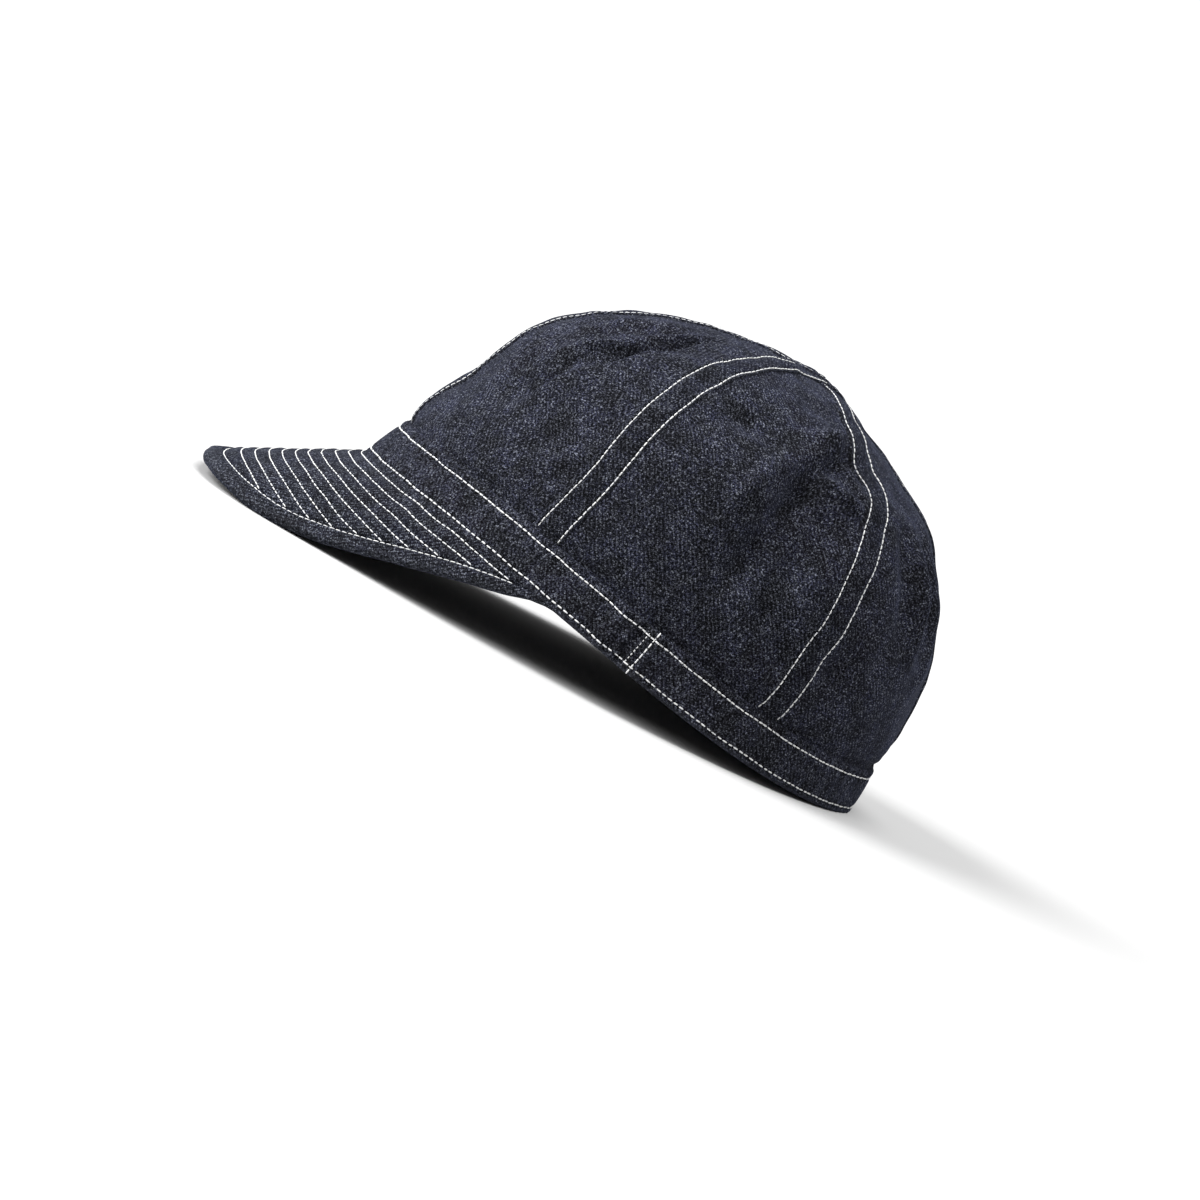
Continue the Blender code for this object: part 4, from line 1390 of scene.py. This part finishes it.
# %% Replace the solids and ride on the body
ROOT_BODY = next(iter(frame["bodies"]))
STANDS_FOR = {"crown_denim": panels, "band_denim": {"band": band}, "peak_denim": {"peak": peak}}
SEWN_ON = {"crown_denim": (*strips, crown_thread, crown_inner_thread, fibres),
           "band_denim": (band_thread, band_low_thread, band_inner_thread, lap_tacks),
           "peak_denim": (peak_thread, peak_under_thread)}
for slot, stand_ins in STANDS_FOR.items():
    for node, piece in stand_ins.items():
        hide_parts(node)
    for piece in (*stand_ins.values(), *SEWN_ON[slot]):
        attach(piece, ROOT_BODY)

# %% [markdown]
# ## The floor
# A product on white needs a floor whose far edge doesn't show. A sheet that curves up into a
# wall is one way, but the wall then needs a light of its own. Here the suns light a very wide
# plane evenly, just bright enough to reach white, and the sky behind it is as white, so they meet
# without a line.

# %% A wide plain floor
FLOOR_REACH = 60.0


def plain_floor():
    corners = [(x, y, 0.0) for x, y in ((-1, -1), (1, -1), (1, 1), (-1, 1))]
    mesh = bpy.data.meshes.new("studio_floor")
    mesh.from_pydata([tuple(FLOOR_REACH * part for part in corner) for corner in corners], [],
                     [(0, 1, 2, 3)])
    return new_object("studio_floor", mesh)


def paper():
    material, w, surface = new_material("pale_paper")
    here = w.add("ShaderNodeTexCoord").outputs["Object"]
    tone = w.shift(w.noise(here, 0.8, 2.0), 0.3, 0.7, 0.50, 0.52)
    grey = w.add("ShaderNodeCombineColor", {0: tone, 1: tone, 2: tone}).outputs[0]
    w.fill(surface, {"Base Color": grey, "Roughness": 0.9, "Specular IOR Level": 0.1})
    return material


floor = plain_floor()
floor.data.materials.append(paper())

# %% [markdown]
# ## The camera
# The photograph was taken with a long lens from the wearer's left, a little in front and above,
# with the cap tipped back. The view is worked out in the cap's own frame, then turned and moved
# as the cap was, so the cap is seen at the same angle. A roll tips it in the picture.

# %% Camera
VIEW_TURN, VIEW_LIFT, VIEW_ROLL = 0.0695, 0.0808, 0.6436
VIEW_DISTANCE = 1.26675
VIEW_TARGET = np.array((0.0, -0.0084509, 0.0066409))
VIEW_LENS = 113.142


def place_camera():
    back = np.array((cos(VIEW_TURN) * cos(VIEW_LIFT), -sin(VIEW_TURN) * cos(VIEW_LIFT),
                     sin(VIEW_LIFT)))
    level_right = unit(np.cross(-back, (0.0, 0.0, 1.0)))
    level_up = np.cross(level_right, -back)
    right = cos(VIEW_ROLL) * level_right + sin(VIEW_ROLL) * level_up
    up = -sin(VIEW_ROLL) * level_right + cos(VIEW_ROLL) * level_up
    place = TURN @ (VIEW_TARGET + VIEW_DISTANCE * back) + REST_MOVE
    axes = np.array([TURN @ axis for axis in (right, up, back)]).T
    camera = new_object("camera", bpy.data.cameras.new("camera"))
    camera.data.lens = VIEW_LENS
    camera.data.sensor_width = 36.0
    camera.data.clip_start, camera.data.clip_end = 0.1, 30.0
    matrix = Matrix(axes.tolist()).to_4x4()
    matrix.translation = Vector(place)
    camera.matrix_world = matrix
    bpy.context.scene.camera = camera
    return place, axes


camera_place, camera_axes = place_camera()
print("camera at", camera_place.round(3))

# %% [markdown]
# ## The light
# The light in the photograph is soft and comes from above, and the side that faces us is much
# darker than the top. Two suns with wide discs give that evenly: the stronger one from the
# camera's left, the other from its right, so that the folds keep some shade on both sides. A weak
# sky fills the shadows. It is white to the camera and dim to everything else.

# %% Light
KEY_POWER, FAR_POWER = 5.2, 3.3
SUN_DISC = radians(46)
SKY_SEEN, SKY_FILL = 1.05, 0.42
right, up, back = camera_axes.T


def soft_sun(name, way, power):
    """A wide soft light that comes from a direction."""
    lamp = new_object(name, bpy.data.lights.new(name, "SUN"))
    lamp.data.energy = power
    lamp.data.angle = SUN_DISC
    lamp.rotation_mode = "QUATERNION"
    lamp.rotation_quaternion = Vector(unit(way)).to_track_quat("Z", "Y")


soft_sun("key_sun", -0.50 * right + 0.82 * up + 0.22 * back, KEY_POWER)
soft_sun("far_sun", 0.55 * right + 0.80 * up + 0.10 * back, FAR_POWER)

world = bpy.data.worlds.new("studio_air")
world.use_nodes = True
sky = Wiring(world.node_tree)
seen = sky.add("ShaderNodeLightPath").outputs["Is Camera Ray"]
background = world.node_tree.nodes["Background"]
background.inputs["Color"].default_value = (1.0, 1.0, 1.0, 1.0)
sky.give(background.inputs["Strength"], sky.shift(seen, 0, 1, SKY_FILL, SKY_SEEN))
bpy.context.scene.world = world
bpy.context.scene.view_settings.view_transform = "Standard"
print("two suns, seen sky", SKY_SEEN)
